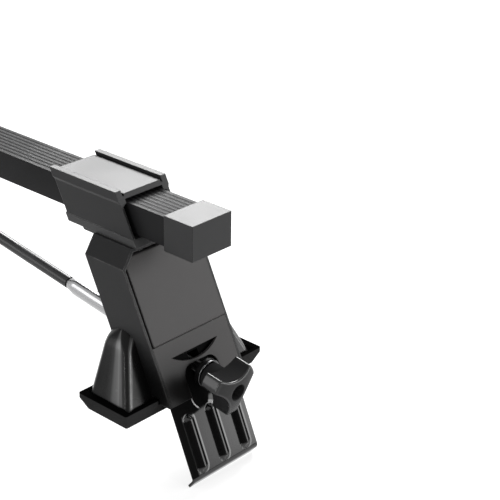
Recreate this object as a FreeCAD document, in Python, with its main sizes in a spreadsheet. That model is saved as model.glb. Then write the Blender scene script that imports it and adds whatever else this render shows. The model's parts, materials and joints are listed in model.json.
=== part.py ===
import FreeCAD, Part
import math
import os

import Sketcher

# A roof rack crossbar: a sheathed steel bar with one clamping foot near each end.
# Millimetres. The bar lies along X, +Z is up, and the origin is under the bar's middle,
# at the height of the hook plates' lips. Both feet are the same foot, turned half round.
#
# A foot is drawn in its own frame: x runs outward along the bar from the front of the
# tower at the height where panel and cover meet, y across the bar, z up from the bar's
# underside.

SIZES = [
    ("bar_length", 1200.0, "over both end caps"),
    ("sheath_width", 33.0, "ribbed plastic sheath, across"),
    ("sheath_height", 21.0, "ribbed plastic sheath, up"),
    ("sheath_wall", 1.5, "sheath wall round the tube"),
    ("tube_wall", 1.5, "steel tube wall"),
    ("tube_corner", 2.0, "steel tube outer corner radius"),
    ("rib_count", 8.0, "ribs along the sheath's top"),
    ("groove_width", 1.3, "groove between two ribs"),
    ("groove_depth", 0.7, "groove between two ribs"),
    ("cap_length", 25.7, "end cap along the bar"),
    ("cap_side", 1.5, "cap wall beside the sheath"),
    ("cap_top", 2.0, "cap wall over and under the sheath"),
    ("cap_end", 2.2, "cap end wall"),
    ("cap_spigot", 18.0, "cap spigot into the tube"),
    ("cap_spigot_wall", 1.6, "cap spigot wall"),
    ("running_gap", 0.08, "clearance of a sliding fit, a side"),
    ("seat_gap", 0.1, "clearance between pieces that are fixed, a side"),
    ("foot_setback", 19.0, "end of the bar in to the tower's front at the panel joint"),
    ("tower_lean", 0.489, "run for each unit of fall, tower, panel and cover"),
    ("bracket_lean", 0.52, "run for each unit of fall, ends of bracket and saddle"),
    ("hook_lean", 23.8, "hook plate from upright, degrees"),
    ("base_lean", 0.436, "run for each unit of fall, base front"),
    ("base_flare", 0.41, "run for each unit of fall, base ends"),
    ("bracket_length", 65.2, "bracket along the bar"),
    ("bracket_front", -45.5, "bracket's forward end at its top plate"),
    ("bracket_leg_out", 22.1, "bracket leg, half width outside"),
    ("bracket_leg_in", 20.3, "bracket leg, half width inside"),
    ("bracket_head_in", 16.9, "bracket head, half width inside"),
    ("bracket_air", 2.1, "air between the ribs and the bracket's top plate"),
    ("bracket_plate", 3.4, "bracket top plate"),
    ("lip_height", 2.2, "lips above the top plate"),
    ("lip_out", 23.1, "lips, half width outside"),
    ("lip_in", 18.2, "lips, half width inside"),
    ("lip_groove_in", 16.7, "groove beside the top plate, inner edge from the middle"),
    ("lip_groove_depth", 1.6, "groove beside the top plate"),
    ("lip_skirt", 5.8, "lip side from the top plate's level down to the step"),
    ("leg_below_bar", 1.0, "bracket legs below the bar's underside"),
    ("cradle_length", 42.0, "cradle along the bar"),
    ("cradle_inset", 8.5, "cradle end from the bracket's upper front end"),
    ("cradle_height", 18.6, "cradle sides above the bar's underside"),
    ("saddle_thickness", 5.5, "saddle plate"),
    ("saddle_tail", 1.8, "saddle's back end beyond the bracket's"),
    ("saddle_edge", 0.5, "chamfer along the saddle's joint line"),
    ("lug_end", -84.9, "saddle lug's end behind the tower"),
    ("lug_thickness", 3.1, "saddle lug"),
    ("lug_half_width", 20.0, "saddle lug"),
    ("saddle_screw_radius", 3.0, "saddle screw shank"),
    ("saddle_screw_length", 6.6, "saddle screw shank above the tower's top plate"),
    ("saddle_screw_pitch_x", 17.0, "saddle screws along the bar"),
    ("saddle_screw_pitch_y", 24.0, "saddle screws across the bar"),
    ("saddle_screw_x", -47.8, "middle of the saddle screws"),
    ("saddle_head_radius", 4.6, "saddle screw head"),
    ("saddle_head_height", 3.6, "saddle screw head"),
    ("tower_half_width", 36.6, "tower outside"),
    ("tower_sheet", 2.0, "tower sheet"),
    ("tower_front", -1.65, "tower's front plane at the joint of panel and cover"),
    ("tower_depth", 36.8, "tower front to back along the bar"),
    ("shoulder_half_width", 24.3, "tower's flat top, half width"),
    ("shoulder_drop", 9.5, "fall of the tower's bevelled shoulders"),
    ("split_drop", 66.2, "bar underside down to the joint of panel and cover"),
    ("cover_drop", 103.4, "bar underside down to the cover's lower edge"),
    ("seat_drop", 100.0, "bar underside down to the tower's seat in the base"),
    ("seat_front", 6.6, "tower seat's front end"),
    ("panel_sheet", 1.6, "front panel sheet"),
    ("panel_depth", 2.6, "front panel tray, front to back"),
    ("panel_gap", 1.6, "shadow gap round the front panel"),
    ("cover_sheet", 1.6, "lower cover sheet"),
    ("cover_depth", 2.6, "lower cover tray, front to back"),
    ("arch_half_width", 15.8, "opening in the lower cover round the tension rod"),
    ("arch_top_drop", 84.2, "bar underside down to the top of that opening"),
    ("arch_corner", 7.5, "rounding of that opening's corners"),
    ("moon_chord", 43.5, "half-moon slot, straight upper edge"),
    ("moon_depth", 6.5, "half-moon slot, greatest depth"),
    ("moon_drop", 10.0, "panel joint down to the half-moon's straight edge"),
    ("base_bottom_drop", 105.0, "bar underside down to the base's underside"),
    ("base_height", 47.0, "base moulding"),
    ("base_back", -38.6, "base's upright back face"),
    ("base_front", 1.0, "base's front lower edge"),
    ("base_half_length", 60.2, "base's lower edge, half its length across the bar"),
    ("base_crown", 8.0, "rounding of the base's top edges"),
    ("base_corner", 4.0, "rounding of the base's standing corners"),
    ("base_rod_slot", 13.0, "opening in the base for the tension rod"),
    ("base_screw_x", -20.0, "base screws along the bar"),
    ("base_screw_drop", 88.0, "bar underside down to the base screws"),
    ("base_screw_radius", 2.5, "base screw shank"),
    ("base_screw_length", 13.0, "base screw shank from the tower's inner face"),
    ("base_head_radius", 4.2, "base screw head"),
    ("base_head_height", 2.4, "base screw head"),
    ("pad_drop", 114.0, "bar underside down to the pad's underside"),
    ("pad_rim_drop", 101.5, "bar underside down to the pad's rim"),
    ("pad_rim_band", 3.6, "upright band of the pad's rim"),
    ("pad_rim_wall", 2.6, "pad rim wall, front and back"),
    ("pad_end_wall", 5.1, "pad rim wall at the two ends"),
    ("pad_taper", 4.0, "pad's sole inside its rim, all round"),
    ("pad_corner", 1.5, "rounding of the pad's corners"),
    ("pad_notch_half_width", 36.0, "gap in the pad's front rim for the hook plate"),
    ("pivot_x", -17.8, "hook plate's pivot along the bar"),
    ("pivot_drop", 51.2, "bar underside down to the hook plate's pivot"),
    ("pin_radius", 3.0, "hook pin"),
    ("eye_radius", 5.5, "hook plate's rolled eye, outside"),
    ("hook_sheet", 2.0, "hook plate sheet"),
    ("hook_length", 116.0, "pivot down to the hook plate's fold"),
    ("hook_half_width", 31.5, "hook plate"),
    ("lip_length", 8.3, "folded lip of the hook plate"),
    ("lip_fold", 62.0, "turn of the folded lip, degrees"),
    ("fold_radius", 2.0, "inner radius of the fold"),
    ("bead_count", 3.0, "pressed beads on the hook plate"),
    ("bead_pitch", 21.0, "beads across the hook plate"),
    ("bead_width", 8.6, "pressed bead"),
    ("bead_height", 3.2, "pressed bead"),
    ("bead_top", 74.0, "pivot down to the beads' upper ends"),
    ("bead_bottom", 113.0, "pivot down to the beads' lower ends"),
    ("rod_slot_half_width", 4.8, "slot in the hook plate for the tension rod"),
    ("rod_slot_length", 22.0, "slot in the hook plate for the tension rod"),
    ("rod_drop", 91.19, "bar underside down to the tension rod at the washer"),
    ("washer_x", 15.3, "washer's middle along the bar"),
    ("rod_radius", 3.55, "tension rod shank"),
    ("thread_radius", 4.0, "tension rod thread"),
    ("thread_length", 46.0, "tension rod thread"),
    ("sleeve_radius", 4.4, "sleeve over the tension rod"),
    ("sleeve_gap", 0.1, "air between the sleeve and the rod"),
    ("sleeve_end_x", -123.6, "outer end of the sleeve"),
    ("sleeve_start", 14.0, "rod pin to the inner end of the sleeve"),
    ("anchor_pin_x", 57.9, "middle of the bar out to the rod pin"),
    ("anchor_pin_drop", 15.0, "bar underside down to the rod pin"),
    ("rod_pin_radius", 2.5, "pin through the rod's inner eye"),
    ("rod_eye_radius", 6.0, "rod's inner eye"),
    ("rod_eye_width", 8.0, "rod's inner eye"),
    ("slide_in", 30.0, "travel of a foot toward the middle of the bar"),
    ("slide_out", 20.0, "travel of a foot toward the end of the bar"),
    ("anchor_width", 24.0, "centre anchor channel"),
    ("anchor_sheet", 2.5, "centre anchor channel"),
    ("anchor_slot_gap", 0.2, "air round the rod pin in its slot"),
    ("anchor_end", 8.0, "metal beyond the end of a slot"),
    ("anchor_edge", 5.5, "metal below a slot"),
    ("anchor_screw_radius", 2.0, "anchor screw shank"),
    ("anchor_screw_pitch", 10.0, "anchor screws across the bar"),
    ("anchor_screw_length", 9.0, "anchor screw shank"),
    ("anchor_head_radius", 3.8, "anchor screw head"),
    ("anchor_head_height", 1.7, "anchor screw head"),
    ("seat_radius", 8.5, "half-ball thrust seat"),
    ("seat_rim", 3.0, "plain rim of the thrust seat"),
    ("washer_radius", 10.0, "washer"),
    ("washer_thickness", 1.5, "washer"),
    ("knob_radius", 19.8, "over the knob's lobes"),
    ("knob_lobes", 3.0, "lobes on the knob"),
    ("knob_length", 26.8, "washer to the knob's face"),
    ("knob_head", 17.0, "depth of the knob's lobes and middle"),
    ("knob_fall", 3.5, "fall of the domed face from its middle to its rim"),
    ("knob_flat", 6.4, "flat middle of the domed face, radius"),
    ("knob_dome", 52.0, "dome of the face, radius"),
    ("hub_radius", 8.8, "knob's hub"),
    ("scallop_radius", 24.0, "hollow between two lobes"),
    ("scallop_up", 33.48, "hollow's centre from the knob's axis, up"),
    ("scallop_aside", 1.17, "hollow's centre from the knob's axis, across"),
    ("lobe_round", 1.5, "rounding of a lobe's corners"),
    ("knob_edge", 0.8, "rounding of the knob's rims"),
    ("socket_radius", 5.6, "open socket in the knob's face"),
    ("insert_radius", 5.0, "threaded insert, outside"),
    ("insert_length", 12.0, "threaded insert"),
    ("insert_setback", 2.0, "insert behind the hub's washer end"),
    ("rod_end_depth", 9.0, "rod's end behind the knob's face"),
]

V = FreeCAD.Vector
DEGREES = math.pi / 180.0
CUT_MARGIN = 2.0

document = FreeCAD.newDocument("roof_rack_crossbar")
sheet = document.addObject("Spreadsheet::Sheet", "sizes")
for row, (alias, number, note) in enumerate(SIZES, start=1):
    sheet.set(f"A{row}", alias)
    sheet.set(f"B{row}", str(number))
    sheet.set(f"C{row}", note)
    sheet.setAlias(f"B{row}", alias)
document.recompute()


class Size:
    """A length with the sheet expression that gives it, so that both stay together."""

    def __init__(self, value, text):
        self.value = value
        self.text = text

    def __add__(self, other):
        other = as_size(other)
        return Size(self.value + other.value, f"({self.text} + {other.text})")

    def __sub__(self, other):
        other = as_size(other)
        return Size(self.value - other.value, f"({self.text} - {other.text})")

    def __mul__(self, other):
        other = as_size(other)
        return Size(self.value * other.value, f"({self.text} * {other.text})")

    def __truediv__(self, other):
        other = as_size(other)
        return Size(self.value / other.value, f"({self.text} / {other.text})")

    def __neg__(self):
        return Size(-self.value, f"(0 - {self.text})")

    __radd__ = __add__
    __rmul__ = __mul__

    def __rsub__(self, other):
        return as_size(other) - self


def as_size(number):
    """A plain number as a Size; a Size stays as it is."""
    if isinstance(number, Size):
        return number
    return Size(float(number), f"({float(number):.6f})")


def root(size):
    """Square root of a Size."""
    return Size(math.sqrt(size.value), f"sqrt({size.text})")


S = {alias: Size(float(sheet.get(alias)), f"sizes.{alias}") for alias, number, note in SIZES}

foot_x = S["bar_length"].value / 2 - S["foot_setback"].value
hook_lean = S["hook_lean"].value
lip_turn = S["lip_fold"].value * DEGREES
rod_run = S["bar_length"] / 2 - S["foot_setback"] + S["washer_x"] - S["anchor_pin_x"]
rod_fall = (S["rod_drop"] - S["anchor_pin_drop"]) / rod_run
rod_tilt = math.atan(rod_fall.value) / DEGREES
hook_x_axis = V(math.cos(hook_lean * DEGREES), 0, math.sin(hook_lean * DEGREES))
hook_z_axis = V(-hook_x_axis.z, 0, hook_x_axis.x)
rod_axis = V(math.cos(rod_tilt * DEGREES), 0, -math.sin(rod_tilt * DEGREES))
pivot = V(S["pivot_x"].value, 0, -S["pivot_drop"].value)
washer_point = V(S["washer_x"].value, 0, -S["rod_drop"].value)

# The lip's outer end is the lowest point of the crossbar, and stands at height 0.
lip_tip_x = S["eye_radius"].value - S["lip_length"].value * math.sin(lip_turn)
lip_tip_z = -S["hook_length"].value - S["lip_length"].value * math.cos(lip_turn)
ride_height = -(pivot + hook_x_axis * lip_tip_x + hook_z_axis * lip_tip_z).z

SIDES = (("right", 0.0), ("left", 180.0))
nodes = []


def bind(item, name, size):
    """Sets a property to a size and ties it to the sheet."""
    size = as_size(size)
    whole = isinstance(getattr(item, name), int)
    setattr(item, name, round(size.value) if whole else size.value)
    item.setExpression(name, size.text)


def new_body(label):
    """An empty body that becomes one node."""
    body = document.addObject("PartDesign::Body", label)
    body.Label = label
    nodes.append(body)
    return body


def keep(item, label):
    """Makes a finished primitive or boolean one node."""
    item.Label = label
    nodes.append(item)
    return item


def new_sketch(body, name, role, offset=0.0):
    """A sketch on one of the body's own origin planes, moved along its normal."""
    sketch = body.newObject("Sketcher::SketchObject", f"{body.Label}_{name}")
    plane = [item for item in body.Origin.OriginFeatures if item.Role == role][0]
    sketch.AttachmentSupport = [(plane, "")]
    sketch.MapMode = "FlatFace"
    offset = as_size(offset)
    if offset.value:
        sketch.AttachmentOffset = FreeCAD.Placement(V(0, 0, offset.value), FreeCAD.Rotation())
        sketch.setExpression("AttachmentOffset.Base.z", offset.text)
    return sketch


def pin_point(sketch, edge, end, across, up):
    """Ties one end of an edge to the sketch's origin by two bound distances."""
    for kind, axis, size in (("DistanceX", -2, across), ("DistanceY", -1, up)):
        size = as_size(size)
        if size.value == 0.0:
            sketch.addConstraint(Sketcher.Constraint("PointOnObject", edge, end, axis))
        else:
            number = sketch.addConstraint(Sketcher.Constraint(kind, -1, 1, edge, end, size.value))
            sketch.setExpression(f"Constraints[{number}]", size.text)


def polygon(sketch, corners):
    """A closed outline of straight lines through the corners."""
    corners = [(as_size(across), as_size(up)) for across, up in corners]
    first = sketch.GeometryCount
    count = len(corners)
    for index in range(count):
        start, end = corners[index], corners[(index + 1) % count]
        line = Part.LineSegment(V(start[0].value, start[1].value, 0), V(end[0].value, end[1].value, 0))
        sketch.addGeometry(line, False)
    for index in range(count):
        follower = first + (index + 1) % count
        sketch.addConstraint(Sketcher.Constraint("Coincident", first + index, 2, follower, 1))
        pin_point(sketch, first + index, 1, *corners[index])
    return sketch


def rectangle(sketch, left, right, low, high):
    """A closed rectangle between the four sizes."""
    return polygon(sketch, [(left, low), (right, low), (right, high), (left, high)])


def circle(sketch, across, up, radius):
    """A full circle."""
    across, up, radius = as_size(across), as_size(up), as_size(radius)
    centre = V(across.value, up.value, 0)
    edge = sketch.addGeometry(Part.Circle(centre, V(0, 0, 1), radius.value), False)
    pin_point(sketch, edge, 3, across, up)
    number = sketch.addConstraint(Sketcher.Constraint("Radius", edge, radius.value))
    sketch.setExpression(f"Constraints[{number}]", radius.text)
    return sketch


def upright_slot(sketch, across, low, high, radius):
    """A slot with round ends, standing, between the centres of its ends."""
    across, low, high, radius = as_size(across), as_size(low), as_size(high), as_size(radius)
    x, r = across.value, radius.value
    top = Part.ArcOfCircle(Part.Circle(V(x, high.value, 0), V(0, 0, 1), r), 0, math.pi)
    bottom = Part.ArcOfCircle(Part.Circle(V(x, low.value, 0), V(0, 0, 1), r), math.pi, 2 * math.pi)
    left = Part.LineSegment(V(x - r, high.value, 0), V(x - r, low.value, 0))
    right = Part.LineSegment(V(x + r, low.value, 0), V(x + r, high.value, 0))
    top, left, bottom, right = [sketch.addGeometry(g, False) for g in (top, left, bottom, right)]
    for one, one_end, two, two_end in ((top, 2, left, 1), (left, 2, bottom, 1),
                                       (bottom, 2, right, 1), (right, 2, top, 1)):
        sketch.addConstraint(Sketcher.Constraint("Tangent", one, one_end, two, two_end))
    pin_point(sketch, top, 3, across, high)
    pin_point(sketch, bottom, 3, across, low)
    number = sketch.addConstraint(Sketcher.Constraint("Radius", top, r))
    sketch.setExpression(f"Constraints[{number}]", radius.text)
    return sketch


def half_moon(sketch, up, chord, depth):
    """A slot with a straight upper edge and a round lower one."""
    radius = (chord * chord / 4 + depth * depth) / (depth * 2)
    half = chord / 2
    centre = V(0, (up - depth + radius).value, 0)
    start = math.atan2(up.value - centre.y, -half.value)
    end = math.atan2(up.value - centre.y, half.value)
    arc = Part.ArcOfCircle(Part.Circle(centre, V(0, 0, 1), radius.value), start, end)
    line = Part.LineSegment(V(half.value, up.value, 0), V(-half.value, up.value, 0))
    arc, line = sketch.addGeometry(arc, False), sketch.addGeometry(line, False)
    sketch.addConstraint(Sketcher.Constraint("Coincident", arc, 2, line, 1))
    sketch.addConstraint(Sketcher.Constraint("Coincident", line, 2, arc, 1))
    pin_point(sketch, line, 1, half, up)
    pin_point(sketch, line, 2, -half, up)
    number = sketch.addConstraint(Sketcher.Constraint("Radius", arc, radius.value))
    sketch.setExpression(f"Constraints[{number}]", radius.text)
    return sketch


def pad(body, sketch, length, symmetric=False, backward=False):
    """Material from a sketch, to one side of it or to both."""
    feature = body.newObject("PartDesign::Pad", f"{sketch.Name}_pad")
    feature.Profile = sketch
    feature.SideType = "Symmetric" if symmetric else "One side"
    feature.Reversed = backward
    bind(feature, "Length", length)
    return feature


def pocket(body, sketch, length, symmetric=False, backward=False):
    """A cut from a sketch, to one side of it or to both."""
    feature = body.newObject("PartDesign::Pocket", f"{sketch.Name}_pocket")
    feature.Profile = sketch
    feature.SideType = "Symmetric" if symmetric else "One side"
    feature.Reversed = backward
    bind(feature, "Length", length)
    return feature


def round_edges(body, size, wanted, kind="Fillet"):
    """Rounds or chamfers the edges of the body's tip that the test picks by their two ends."""
    document.recompute()
    base = body.Tip
    names = []
    for number, edge in enumerate(base.Shape.Edges, start=1):
        ends = [vertex.Point for vertex in edge.Vertexes]
        if len(ends) == 2 and wanted(ends[0], ends[1]):
            names.append(f"Edge{number}")
    feature = body.newObject(f"PartDesign::{kind}", f"{base.Name}_{kind.lower()}")
    feature.Base = (base, names)
    bind(feature, "Radius" if kind == "Fillet" else "Size", size)
    return feature


def hollow(body, sheet_size, opened):
    """Leaves a sheet of even thickness, open at the faces that the test picks."""
    document.recompute()
    base = body.Tip
    names = []
    for number, face in enumerate(base.Shape.Faces, start=1):
        if opened(face.normalAt(0, 0), face.CenterOfMass):
            names.append(f"Face{number}")
    feature = body.newObject("PartDesign::Thickness", f"{base.Name}_sheet")
    feature.Base = (base, names)
    feature.Reversed = True
    bind(feature, "Value", sheet_size)
    return feature


def row_of(body, features, role, length, count):
    """Repeats features in a row along one of the body's axes."""
    document.recompute()
    feature = body.newObject("PartDesign::LinearPattern", f"{features[0].Name}_row")
    feature.Originals = features
    axis = [item for item in body.Origin.OriginFeatures if item.Role == role][0]
    feature.Direction = (axis, [""])
    bind(feature, "Length", length)
    bind(feature, "Occurrences", count)
    body.Tip = feature
    return feature


def ring_of(body, features, count):
    """Repeats features round the body's Z axis."""
    document.recompute()
    feature = body.newObject("PartDesign::PolarPattern", f"{features[0].Name}_ring")
    feature.Originals = features
    axis = [item for item in body.Origin.OriginFeatures if item.Role == "Z_Axis"][0]
    feature.Axis = (axis, [""])
    feature.Angle = 360
    bind(feature, "Occurrences", count)
    body.Tip = feature
    return feature


def on_bar(item):
    """Lifts a piece of the bar to its height."""
    item.Placement = FreeCAD.Placement(V(0, 0, ride_height), FreeCAD.Rotation())


def on_foot(item, turn, point=V(0, 0, 0), tilt=0.0):
    """Puts a piece at a point of the foot's frame, tilted about Y, on the side given by turn."""
    half_turn = FreeCAD.Rotation(V(0, 0, 1), turn)
    place = half_turn.multVec(V(foot_x, 0, 0) + point) + V(0, 0, ride_height)
    item.Placement = FreeCAD.Placement(place, half_turn * FreeCAD.Rotation(V(0, 1, 0), tilt))


def cylinder(name, radius, length, point=V(0, 0, 0), direction=V(0, 0, 1)):
    """A plain cylinder from a point along a direction."""
    item = document.addObject("Part::Cylinder", name)
    bind(item, "Radius", radius)
    bind(item, "Height", length)
    item.Placement = FreeCAD.Placement(point, FreeCAD.Rotation(V(0, 0, 1), direction))
    return item


def cut(name, base, tool):
    """Base less tool."""
    item = document.addObject("Part::Cut", name)
    item.Base, item.Tool = base, tool
    return item


def fuse(name, items):
    """Several overlapping solids as one."""
    item = document.addObject("Part::MultiFuse", name)
    item.Shapes = items
    item.Refine = True
    return item


def group(name, items):
    """Several separate solids in one node."""
    item = document.addObject("Part::Compound", name)
    item.Links = items
    return item


# Lines that the foot's pieces share, as sizes in the foot's frame


def tower_front(height):
    """x of the front plane of tower, panel and cover at a height."""
    return S["tower_front"] - S["tower_lean"] * (as_size(height) + S["split_drop"])


def base_front(height):
    """x of the base's front face at a height."""
    return S["base_front"] - S["base_lean"] * (as_size(height) + S["base_bottom_drop"])


def rod_height(x):
    """z of the tension rod's axis at x."""
    return -S["rod_drop"] - rod_fall * (as_size(x) - S["washer_x"])


LEG_BOTTOM = -S["leg_below_bar"]
SADDLE_BOTTOM = LEG_BOTTOM - S["seat_gap"] - S["saddle_thickness"]
TOWER_TOP = SADDLE_BOTTOM - S["seat_gap"]
TOWER_INNER = S["tower_half_width"] - S["tower_sheet"]
PLATE_BOTTOM = S["sheath_height"] + S["bracket_air"]
PLATE_TOP = PLATE_BOTTOM + S["bracket_plate"]
LIP_TOP = PLATE_TOP + S["lip_height"]
TUBE_WIDTH = S["sheath_width"] - S["sheath_wall"] * 2
TUBE_HEIGHT = S["sheath_height"] - S["sheath_wall"] * 2


def make_bar_tube():
    """Rectangular steel tube with rounded corners, capped at both ends."""
    body = new_body("bar_tube")
    outer = new_sketch(body, "outer", "YZ_Plane")
    half, wall = TUBE_WIDTH / 2, S["sheath_wall"]
    rectangle(outer, -half, half, wall, wall + TUBE_HEIGHT)
    length = S["bar_length"] - (S["cap_end"] + S["seat_gap"]) * 2
    pad(body, outer, length, symmetric=True)
    round_edges(body, S["tube_corner"], lambda a, b: abs(a.x - b.x) > 100)
    inner = new_sketch(body, "inner", "YZ_Plane")
    wall = wall + S["tube_wall"]
    half = half - S["tube_wall"]
    rectangle(inner, -half, half, wall, S["sheath_height"] - wall)
    pocket(body, inner, S["bar_length"], symmetric=True)
    on_bar(body)


def make_bar_sheath():
    """Plastic sheath round the tube, with ribs along its top."""
    body = new_body("bar_sheath")
    half = S["sheath_width"] / 2
    section = new_sketch(body, "section", "YZ_Plane")
    rectangle(section, -half, half, 0, S["sheath_height"])
    inside = half - S["sheath_wall"]
    rectangle(section, -inside, inside, S["sheath_wall"], S["sheath_height"] - S["sheath_wall"])
    length = S["bar_length"] - (S["cap_end"] + S["seat_gap"]) * 2
    pad(body, section, length, symmetric=True)
    groove = new_sketch(body, "groove", "YZ_Plane")
    pitch = S["sheath_width"] / S["rib_count"]
    middle = pitch - half
    top = S["sheath_height"]
    wide, narrow = S["groove_width"] / 2, S["groove_width"] / 4
    polygon(groove, [(middle - wide, top), (middle - narrow, top - S["groove_depth"]),
                     (middle + narrow, top - S["groove_depth"]), (middle + wide, top)])
    first = pocket(body, groove, S["bar_length"], symmetric=True)
    row_of(body, [first], "Y_Axis", pitch * (S["rib_count"] - 2), S["rib_count"] - 1)
    on_bar(body)


def make_end_cap(side, turn):
    """Moulded cap over the bar's end, with a spigot that fits the tube."""
    body = new_body(f"end_cap_{side}")
    gap = S["seat_gap"]
    half = S["sheath_width"] / 2 + S["cap_side"]
    outer = new_sketch(body, "outer", "YZ_Plane")
    rectangle(outer, -half, half, -S["cap_top"], S["sheath_height"] + S["cap_top"])
    pad(body, outer, S["cap_length"], backward=True)
    pocket_depth = S["cap_length"] - S["cap_end"]
    ring = new_sketch(body, "ring", "YZ_Plane", -S["cap_length"])
    half = S["sheath_width"] / 2 + gap
    rectangle(ring, -half, half, -gap, S["sheath_height"] + gap)
    wall = S["sheath_wall"] + S["tube_wall"] + gap
    half = S["sheath_width"] / 2 - wall
    rectangle(ring, -half, half, wall, S["sheath_height"] - wall)
    pocket(body, ring, pocket_depth, backward=True)
    short = new_sketch(body, "spigot_end", "YZ_Plane", -S["cap_length"])
    wide = half + CUT_MARGIN / 2
    rectangle(short, -wide, wide, wall - CUT_MARGIN / 2, S["sheath_height"] - wall + CUT_MARGIN / 2)
    pocket(body, short, pocket_depth - S["cap_spigot"], backward=True)
    core = new_sketch(body, "spigot_core", "YZ_Plane", -S["cap_length"])
    wall = wall + S["cap_spigot_wall"]
    half = half - S["cap_spigot_wall"]
    rectangle(core, -half, half, wall, S["sheath_height"] - wall)
    pocket(body, core, pocket_depth, backward=True)
    half_turn = FreeCAD.Rotation(V(0, 0, 1), turn)
    end = half_turn.multVec(V(S["bar_length"].value / 2, 0, 0)) + V(0, 0, ride_height)
    body.Placement = FreeCAD.Placement(end, half_turn)


def make_centre_anchor():
    """Channel under the bar's middle, with slots in its cheeks for the rods' pins."""
    body = new_body("centre_anchor")
    slot_radius = S["rod_pin_radius"] + S["anchor_slot_gap"]
    slot_start = S["anchor_pin_x"] - S["slide_in"]
    slot_end = S["anchor_pin_x"] + S["slide_out"]
    depth = S["anchor_pin_drop"] + slot_radius + S["anchor_edge"]
    half, inside = S["anchor_width"] / 2, S["anchor_width"] / 2 - S["anchor_sheet"]
    section = new_sketch(body, "section", "YZ_Plane")
    web = -S["anchor_sheet"]
    polygon(section, [(-half, 0), (-half, -depth), (-inside, -depth), (-inside, web),
                      (inside, web), (inside, -depth), (half, -depth), (half, 0)])
    length = (slot_end + slot_radius + S["anchor_end"]) * 2
    pad(body, section, length, symmetric=True)
    round_edges(body, S["anchor_sheet"] - 0.5, lambda a, b: abs(a.x - b.x) > 60 and a.z > -0.1)
    for name, near, far in (("slot_right", slot_start, slot_end), ("slot_left", -slot_end, -slot_start)):
        slot = new_sketch(body, name, "XZ_Plane")
        lying_slot(slot, -S["anchor_pin_drop"], near, far, slot_radius)
        pocket(body, slot, S["anchor_width"] + CUT_MARGIN, symmetric=True)
    holes = new_sketch(body, "holes", "XY_Plane")
    for way in (-1, 1):
        circle(holes, 0, S["anchor_screw_pitch"] * way / 2, S["anchor_screw_radius"] + S["seat_gap"])
    pocket(body, holes, S["anchor_sheet"] + CUT_MARGIN)
    on_bar(body)


def lying_slot(sketch, up, near, far, radius):
    """A slot with round ends, lying, between the centres of its ends."""
    y, r = up.value, radius.value
    right = Part.ArcOfCircle(Part.Circle(V(far.value, y, 0), V(0, 0, 1), r), -math.pi / 2, math.pi / 2)
    left = Part.ArcOfCircle(Part.Circle(V(near.value, y, 0), V(0, 0, 1), r), math.pi / 2, 1.5 * math.pi)
    top = Part.LineSegment(V(far.value, y + r, 0), V(near.value, y + r, 0))
    bottom = Part.LineSegment(V(near.value, y - r, 0), V(far.value, y - r, 0))
    right, top, left, bottom = [sketch.addGeometry(g, False) for g in (right, top, left, bottom)]
    for one, two in ((right, top), (top, left), (left, bottom), (bottom, right)):
        sketch.addConstraint(Sketcher.Constraint("Tangent", one, 2, two, 1))
    pin_point(sketch, right, 3, far, up)
    pin_point(sketch, left, 3, near, up)
    number = sketch.addConstraint(Sketcher.Constraint("Radius", right, r))
    sketch.setExpression(f"Constraints[{number}]", radius.text)


def screw(name, point, direction, shank_radius, shank_length, head_radius, head_height):
    """A screw whose head lies behind the point and whose shank runs along the direction."""
    shank = cylinder(f"{name}_shank", shank_radius, shank_length, point, direction)
    head = cylinder(f"{name}_head", head_radius, head_height, point, direction * -1)
    return fuse(name, [shank, head])


def make_anchor_screws():
    """Two screws through the anchor's web into the bar."""
    screws = []
    for way in (-1, 1):
        point = V(0, way * S["anchor_screw_pitch"].value / 2, -S["anchor_sheet"].value)
        screws.append(screw(f"anchor_screw_{way + 2}", point, V(0, 0, 1), S["anchor_screw_radius"],
                            S["anchor_screw_length"], S["anchor_head_radius"], S["anchor_head_height"]))
    on_bar(keep(group("anchor_screw_pair", screws), "anchor_screws"))


def bore_bar(body):
    """Holes in the bar's underside for the anchor's screws."""
    holes = new_sketch(body, "screw_holes", "XY_Plane")
    for way in (-1, 1):
        circle(holes, 0, S["anchor_screw_pitch"] * way / 2, S["anchor_screw_radius"] + S["seat_gap"] / 2)
    pocket(body, holes, S["sheath_height"] / 2, backward=True)


def make_bracket(side, turn):
    """Extruded housing over the bar, with a lip along each edge and both ends cut to the tower's lean."""
    body = new_body(f"bracket_{side}")
    out, leg, inside, head = S["lip_out"], S["bracket_leg_out"], S["bracket_leg_in"], S["bracket_head_in"]
    step = PLATE_TOP - S["lip_skirt"]
    groove = PLATE_TOP - S["lip_groove_depth"]
    half = [(0, PLATE_BOTTOM), (head, PLATE_BOTTOM), (head, PLATE_BOTTOM - 2.5), (inside, step - 1.6),
            (inside, LEG_BOTTOM), (leg, LEG_BOTTOM), (leg, step), (out, step + 1.8), (out, LIP_TOP),
            (S["lip_in"], LIP_TOP), (S["lip_in"], groove), (S["lip_groove_in"], groove),
            (S["lip_groove_in"], PLATE_TOP)]
    corners = half[1:] + [(-across, up) for across, up in reversed(half[1:])]
    front_low = S["bracket_front"] + S["bracket_lean"] * (PLATE_TOP - LEG_BOTTOM)
    rise = S["bracket_lean"] * (LIP_TOP - PLATE_TOP)
    section = new_sketch(body, "section", "YZ_Plane", front_low)
    polygon(section, corners)
    whole = front_low - S["bracket_front"] + S["bracket_length"] + rise
    pad(body, section, whole, backward=True)
    trim_ends(body, S["bracket_front"], S["bracket_length"], LEG_BOTTOM, LIP_TOP)
    on_foot(body, turn)


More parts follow.
